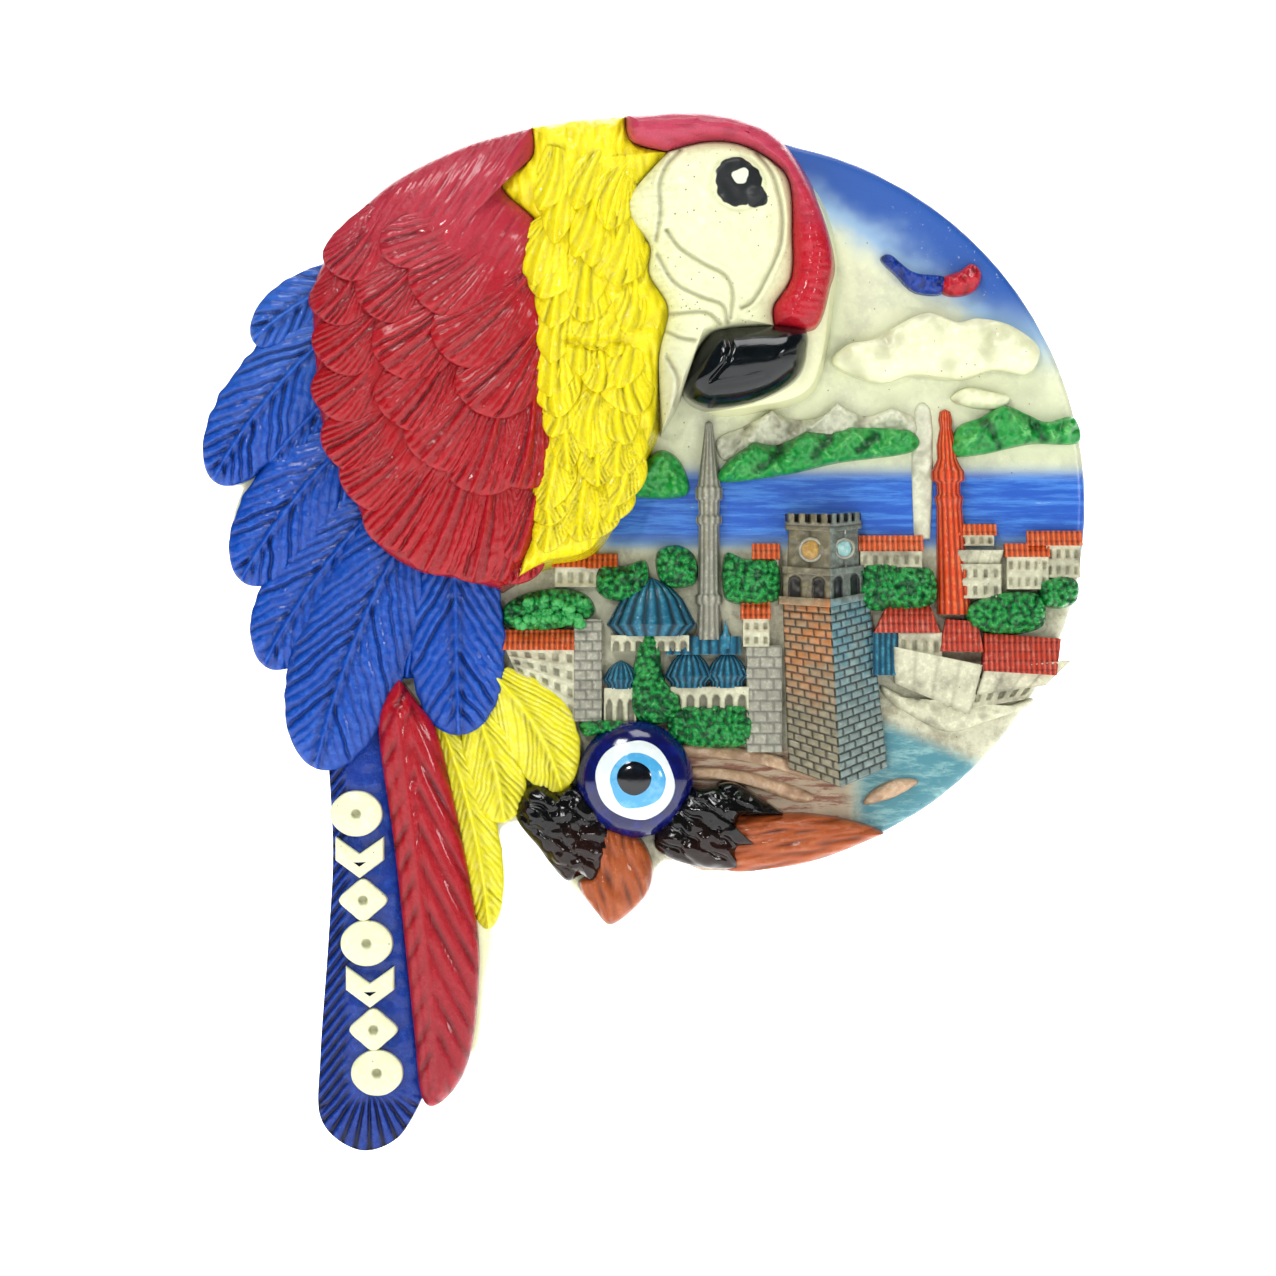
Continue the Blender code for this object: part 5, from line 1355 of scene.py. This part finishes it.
def town():
    """Groves, roofs, walls and quays round the tower."""
    for k, (name, outline, start, end, node) in enumerate(GROVES):
        clay = Clay(name)
        mound(clay, outline, [start, end], 6.2, 7.5, leafy(2.1, 0.8, k + 1), 0.09, 0.1)
        clay.done(GREEN, "green_enamel", *([node] if node else []))
    clay = Clay("thicket_berries")
    for k in range(46):
        x = -17.6 + 6.0 * chance(k, 1)
        clay.lump(x, -8.2 - 2.1 * chance(k, 2) - 0.4 * abs(x + 14.6) / 3,
                  7.1 + 0.4 * chance(k, 3), 0.42, 0.8, 0.1, k)
    clay.done(GREEN, "green_enamel")
    for name, roofs, mat, slot, nodes in (
            ("roof_tiles_orange", ROOFS, ORANGE_ROOF, "roof_enamel", []),
            ("roof_tiles_red", RED_ROOFS, ROOF, "roof_enamel", ["houses_red"])):
        clay = Clay(name)
        for corners, ridge, eave in roofs:
            panel(clay, corners, tiled(ridge, eave), 0.09)
        clay.done(mat, slot, *nodes)
    for name, node, walls in WALLS:
        clay = Clay(name)
        for k, (corners, depth, columns, rows) in enumerate(walls):
            panel(clay, corners, windowed(depth, columns, rows, k))
        clay.done(STONE, "stone_wash", node)
    clay = Clay("harbour_roof")
    for corners, near_side in (
            (sloping((15.2, -12.4), (22.9, -14.0), (21.8, -18.3), (15.3, -15.6)), 7.5),
            (sloping((23.1, -14.3), (30.6, -13.6), (28.4, -15.8), (22.4, -16.6)), 7.3),
            (sloping((20.8, -4.0), (24.8, -4.0), (24.4, -5.4), (20.6, -5.4)), 6.8)):
        # darker along the lower edge: painted shade
        panel(clay, corners,
              lambda u, v, x, z, near_side=near_side: (
                  near_side - 0.7 * v - 0.08 * groove(u, 0.25, 9) + 0.05 * rough(x, z, 1.2, 3),
                  0.35 * groove(u, 0.25, 9) + 0.4 * ease((v - 0.88) / 0.1), 0.7))
    clay.done(STONE, "stone_wash")
    clay = Clay("stone_tower_walls")
    panel(clay, four(-12.6, -10.0, -10.2, -18.9), masonry(6.9, 6.6, 1.1, 0.85, 0.16))
    panel(clay, four(2.4, -12.3, 5.5, -21.6), masonry(6.5, 6.3, 1.2, 0.95, 0.16))
    clay.done(GREY, "grey_wash", "stone_tower")
    clay = Clay("striped_house")
    panel(clay, four(13.4, -11.1, 15.6, -14.9),
          lambda u, v, x, z: (7.0 - 0.2 * groove(x, 0.5, 1.4), 0.75 * groove(x, 0.5, 1.4), 0.5))
    clay.done(TEAL, "teal_enamel")
    for k, (name, outline, start, end) in enumerate(QUAYS):
        clay = Clay(name)
        mound(clay, outline, [start, end], 5.2, 5.8, rocky(0.9, 0.25, k + 2), 0.12, 0.1)
        clay.done(STONE if name == "quay_harbour" else QUAY, "grey_wash")


DIAL_GOLD = feather_paint("dial_gold", "9A7638", "3E2C10", "C4A868", rough=0.3)
DIAL_PALE = feather_paint("dial_pale", "7AA6A4", "2C4644", "B8CEC4", rough=0.3)
ORANGE_ROOF = feather_paint("roof_orange", "D85A24", "742A0E", "EBAA7A", rough=0.36, fleck=0.3)


# ---- bead and back -----------------------------------------------------------------------------
BEAD_AT = (-7.3, -23.95)
BEAD_R = 5.1
BEAD_BACK = 5.1
BEAD_EQUATOR = 6.4
BEAD_RISE = 3.0
BEAD_STEPS = 96


def bead_depth(r):
    """Depth of the lens at a distance from its middle."""
    return BEAD_EQUATOR + BEAD_RISE * sqrt(max(0.0, 1 - (r / BEAD_R) ** 2))


def spun(name, profile, centre, wobble, seed, material, slot, node):
    """Turned glass about an axis towards the viewer; the profile is (radius, depth)."""
    bm = bmesh.new()
    chain = [bm.verts.new(spot(centre[0] + r, centre[1], d)) for r, d in profile]
    edges = [bm.edges.new(pair) for pair in zip(chain, chain[1:])]
    bmesh.ops.spin(bm, geom=chain + edges, cent=spot(*centre, 0), axis=(0, 1, 0), dvec=(0, 0, 0),
                   angle=2 * pi, steps=BEAD_STEPS, use_merge=True, use_duplicate=False)
    bmesh.ops.remove_doubles(bm, verts=bm.verts, dist=0.001 * MM)
    middle = spot(*centre, 0)
    for vert in bm.verts:
        x, z = (vert.co.x - middle.x) / MM, (vert.co.z - middle.z) / MM
        reach = max(1e-6, hypot(x, z))
        swell = 1 + wobble * noise.noise(Vector((x / reach, z / reach, seed)))
        vert.co.x = middle.x + x * swell * MM
        vert.co.z = middle.z + z * swell * MM
    bmesh.ops.recalc_face_normals(bm, faces=bm.faces)
    piece(name, bm, material, slot, node)


def bead():
    """Flat-backed glass bead: navy lens with white, light blue and black drops on it."""
    lens = [(0, BEAD_BACK)] + [(BEAD_R * share, BEAD_BACK) for share in (0.4, 0.8)]
    lens += [(BEAD_R * (0.93 + 0.07 * sin(a)), BEAD_EQUATOR - (BEAD_EQUATOR - BEAD_BACK) * cos(a))
             for a in (pi * k / 12 for k in range(6))]
    lens += [(BEAD_R * cos(a), BEAD_EQUATOR + BEAD_RISE * sin(a))
             for a in (pi / 2 * k / 24 for k in range(25))]
    lens[-1] = (0, lens[-1][1])
    spun("glass_bead", lens, BEAD_AT, 0.02, 1, NAVY_GLASS, "navy_glass", "bead_body")
    for k, (name, radius, shift, mat, slot, node) in enumerate((
            ("glass_drop_white", 3.5, (0.0, 0.0), WHITE_GLASS, "white_glass", "bead_white"),
            ("glass_drop_blue", 2.68, (0.1, 0.0), SKY_GLASS, "sky_glass", "bead_blue"),
            ("glass_drop_pupil", 1.74, (0.0, 0.1), BLACK_GLASS, "black_glass", "bead_pupil"))):
        rise = 0.10 + 0.06 * k
        drop = [(0, bead_depth(0) - 0.3), (radius * 0.96, bead_depth(radius) - 0.3)]
        drop += [(radius * share, bead_depth(radius * share) + rise * (1 - share ** 8) - 0.02)
                 for share in (1.0, 0.97, 0.92, 0.85, 0.7, 0.5, 0.3, 0.12, 0.0)]
        spun(name, drop, (BEAD_AT[0] + shift[0], BEAD_AT[1] + shift[1]), 0.05, 5 + k, mat,
             slot, node)


NAVY_GLASS = glass_paint("navy_glass", "060C4A", "0E1E7E")
WHITE_GLASS = glass_paint("white_glass", "D3DCDC", "EAF0EA", 0.12)
SKY_GLASS = glass_paint("sky_glass", "469CCC", "86C2E0", 0.12)
BLACK_GLASS = glass_paint("black_glass", "06080C", "14202E")
GLUE = glass_paint("clear_glue", "C9C7A6", "E2E0C4", 0.18)
FERRITE = ferrite_paint()


CASTING_EDGE = [(-1.5, -32.0, SHARP), (-4.8, -31.2), (-6.1, -33.5), (-7.5, -35.3), (-9.4, -36.6),
                (-10.6, -35.6), (-13.4, -32.7), (-15.7, -29.9), (-17.0, -27.7, SHARP),
                (-19.0, -28.4), (-18.8, -31.5), (-19.0, -35.0), (-20.2, -37.6),
                (-20.8, -41.5), (-21.8, -48.3), (-24.0, -51.7), (-26.0, -52.0, SHARP),
                (-28.2, -55.0), (-31.4, -56.1), (-34.4, -53.4), (-34.5, -48.0),
                (-33.8, -38.0), (-33.4, -30.0), (-33.9, -23.0, SHARP), (-35.4, -22.2),
                (-37.0, -19.5), (-37.4, -14.6, SHARP), (-39.5, -13.0), (-40.8, -9.8),
                (-39.9, -6.8, SHARP), (-41.3, -6.0), (-42.7, -2.3), (-41.6, 1.5, SHARP),
                (-43.6, 2.6), (-44.2, 5.0), (-42.2, 9.4), (-39.4, 13.2, SHARP),
                (-39.9, 14.5), (-37.6, 17.3), (-34.1, 20.7), (-31.8, 24.1),
                (-27.9, 27.8), (-21.9, 30.8), (-16.2, 32.4), (-12.5, 33.0), (-8.0, 33.3),
                (-2.0, 33.6), (2.3, 32.8), (5.2, 31.9, SHARP)]
RIM_FROM, RIM_TO, RIM_STEPS = 78.0, -92.0, 34      # free rim of the plate, degrees from +x
CASTING_POINTS = 900
CASTING_BACK = 0.5
# how far in from the outline, and depth, from the back round the side to the front
CASTING_SIDE = [(0.75, CASTING_BACK), (0.5, CASTING_BACK), (0.32, 0.6), (0.22, 0.85),
                (0.12, 2.0), (0.05, 3.4), (0.0, 4.1), (0.06, 4.5), (0.22, 4.8), (0.5, 4.96),
                (0.8, FRONT), (1.1, FRONT)]
POCKETS = [((0.0, 0.0), 10.35), ((-26.6, -33.2), 5.35)]      # magnet pockets in the back
POCKET_FLOOR = 3.9
POCKET_POINTS = 96


def ring_of(bm, loop, depth):
    """Closed ring of points along a loop at one depth."""
    made = bmesh.ops.create_circle(bm, segments=len(loop), radius=1)["verts"]
    for vert, (x, z) in zip(made, loop):
        vert.co = spot(x, z, depth)
    return made


def ring_edges(verts):
    """Edges that run between these points."""
    inside = set(verts)
    return [e for e in {e for v in verts for e in v.link_edges} if set(e.verts) <= inside]


def shrunk_loop(loop, distance):
    """Loop moved inwards by a distance."""
    count = len(loop)
    result = []
    for k, (x, z) in enumerate(loop):
        before, after = Vector(loop[k - 2]), Vector(loop[(k + 2) % count])
        run = (after - before).normalized()
        result.append((x + run.y * distance, z - run.x * distance))
    return result


def casting():
    """The resin plate: rounded front rim, slightly drafted side, flat back with pockets."""
    rim = [(DISC_R * cos(radians(a)), DISC_R * sin(radians(a)))
           for a in (RIM_FROM + (RIM_TO - RIM_FROM) * k / RIM_STEPS for k in range(RIM_STEPS + 1))]
    loop = rounded(rim + CASTING_EDGE, CASTING_POINTS)
    bm = bmesh.new()
    rings = []
    for inward, depth in CASTING_SIDE:
        swept = [(x + 0.05 * rough(x, z, 0.7, depth), z + 0.05 * rough(z, x, 0.7, depth))
                 for x, z in shrunk_loop(loop, inward)]
        rings.append(ring_of(bm, swept, depth))
    for low, high in zip(rings, rings[1:]):
        bmesh.ops.bridge_loops(bm, edges=ring_edges(low) + ring_edges(high))
    bmesh.ops.contextual_create(bm, geom=ring_edges(rings[-1]))
    mouths = []
    for (x, z), radius in POCKETS:
        turns = [2 * pi * k / POCKET_POINTS for k in range(POCKET_POINTS)]
        loops = [[(x + r * cos(turn), z + r * sin(turn)) for turn in turns]
                 for r in (radius + 0.1, radius, radius, radius - 0.1)]
        walls = [ring_of(bm, ring, depth) for ring, depth in
                 zip(loops, (CASTING_BACK, CASTING_BACK + 0.1, POCKET_FLOOR, POCKET_FLOOR))]
        for low, high in zip(walls, walls[1:]):
            bmesh.ops.bridge_loops(bm, edges=ring_edges(low) + ring_edges(high))
        bmesh.ops.contextual_create(bm, geom=ring_edges(walls[-1]))
        mouths += ring_edges(walls[0])
    bmesh.ops.triangle_fill(bm, use_beauty=True, edges=ring_edges(rings[0]) + mouths)
    bmesh.ops.recalc_face_normals(bm, faces=bm.faces)
    made = piece("casting_plate", bm, PLATE, "cream_resin", "casting")
    made.data.set_sharp_from_angle(angle=radians(50))


def carried_over():
    """Finishes for the solids that show as they are."""
    for node, mat in (("bead_glue", GLUE), ("magnet_glue_main", GLUE),
                      ("magnet_glue_lower", GLUE), ("magnet_main", FERRITE),
                      ("magnet_lower", FERRITE)):
        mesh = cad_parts[node].data
        mesh.materials.clear()
        mesh.materials.append(mat)


# ---- stage -------------------------------------------------------------------------------------
EYE = (-7.04, -11.65)       # side and height of the camera, from the middle of the plate
EYE_AWAY = 357.0
LENS = 113.6
FLOOR_AT = -56.7            # the tail stands on the paper
PAPER_GLOW = 0.95
AIR_GLOW = 0.09
# place and size in millimetres, power in watts
LAMPS = [
    ("lamp_key", (-150, -260, 330), 110, 0.85),
    ("lamp_fill", (300, -330, 60), 60, 0.30),
    ("lamp_top", (40, -110, 420), 180, 0.62),
    ("lamp_front", (-90, -400, 120), 30, 0.30),
    ("lamp_back", (0, 330, 380), 420, 2.0),
]


def backdrop_paint():
    """Matt white paper that glows a little, as if lit from behind."""
    p = Paint("studio_paper", 0.0)
    p.shader.inputs["Emission Color"].default_value = (1, 1, 1, 1)
    p.shader.inputs["Emission Strength"].default_value = PAPER_GLOW
    colour = p.mix(srgb("F4F4F4"), srgb("F8F8F8"), p.noise(0.02, 2.0, 0.5))
    return p.finish(colour, 0.9)


def stage():
    """White paper that curves up behind the plate, soft lamps, and the camera."""
    bm = bmesh.new()
    bmesh.ops.create_grid(bm, x_segments=4, y_segments=60, size=0.5)
    radius, deep, tall, wide, front = 180.0, 420.0, 900.0, 2400.0, -600.0
    bend = radius * pi / 2
    total = (deep - front) + bend + tall
    for vert in bm.verts:
        run = (vert.co.y + 0.5) * total
        x = vert.co.x * wide
        if run < deep - front:
            y, z = front + run, 0.0
        elif run < deep - front + bend:
            a = (run - (deep - front)) / radius
            y, z = deep + radius * sin(a), radius * (1 - cos(a))
        else:
            y, z = deep + radius, radius + run - (deep - front + bend)
        vert.co = Vector((x, y, z + FLOOR_AT)) * MM
    paper = placed("studio_paper", bm, backdrop_paint())
    for name, place, size, power in LAMPS:
        lamp = bpy.data.lights.new(name, "AREA")
        lamp.size = size * MM
        lamp.energy = power
        made = bpy.data.objects.new(name, lamp)
        made.location = Vector(place) * MM
        made.rotation_euler = (-Vector(place)).to_track_quat("-Z", "Y").to_euler()
        bpy.context.scene.collection.objects.link(made)
    world = bpy.data.worlds.new("studio_air")
    world.use_nodes = True
    world.node_tree.nodes["Background"].inputs["Color"].default_value = (0.95, 0.97, 1, 1)
    world.node_tree.nodes["Background"].inputs["Strength"].default_value = AIR_GLOW
    bpy.context.scene.world = world
    view = bpy.data.cameras.new("camera")
    view.lens = LENS
    view.clip_start = 0.01
    camera = bpy.data.objects.new("camera", view)
    camera.location = Vector((EYE[0], -EYE_AWAY, EYE[1])) * MM
    camera.rotation_euler = (radians(90), 0, 0)
    bpy.context.scene.collection.objects.link(camera)
    bpy.context.scene.camera = camera
    bpy.context.scene.view_settings.view_transform = "Standard"


coverts()
neck()
head()
wing()
tail()
perch()
sky_and_shore()
minarets()
mosque()
clock_tower()
town()
bead()
casting()
carried_over()
stage()
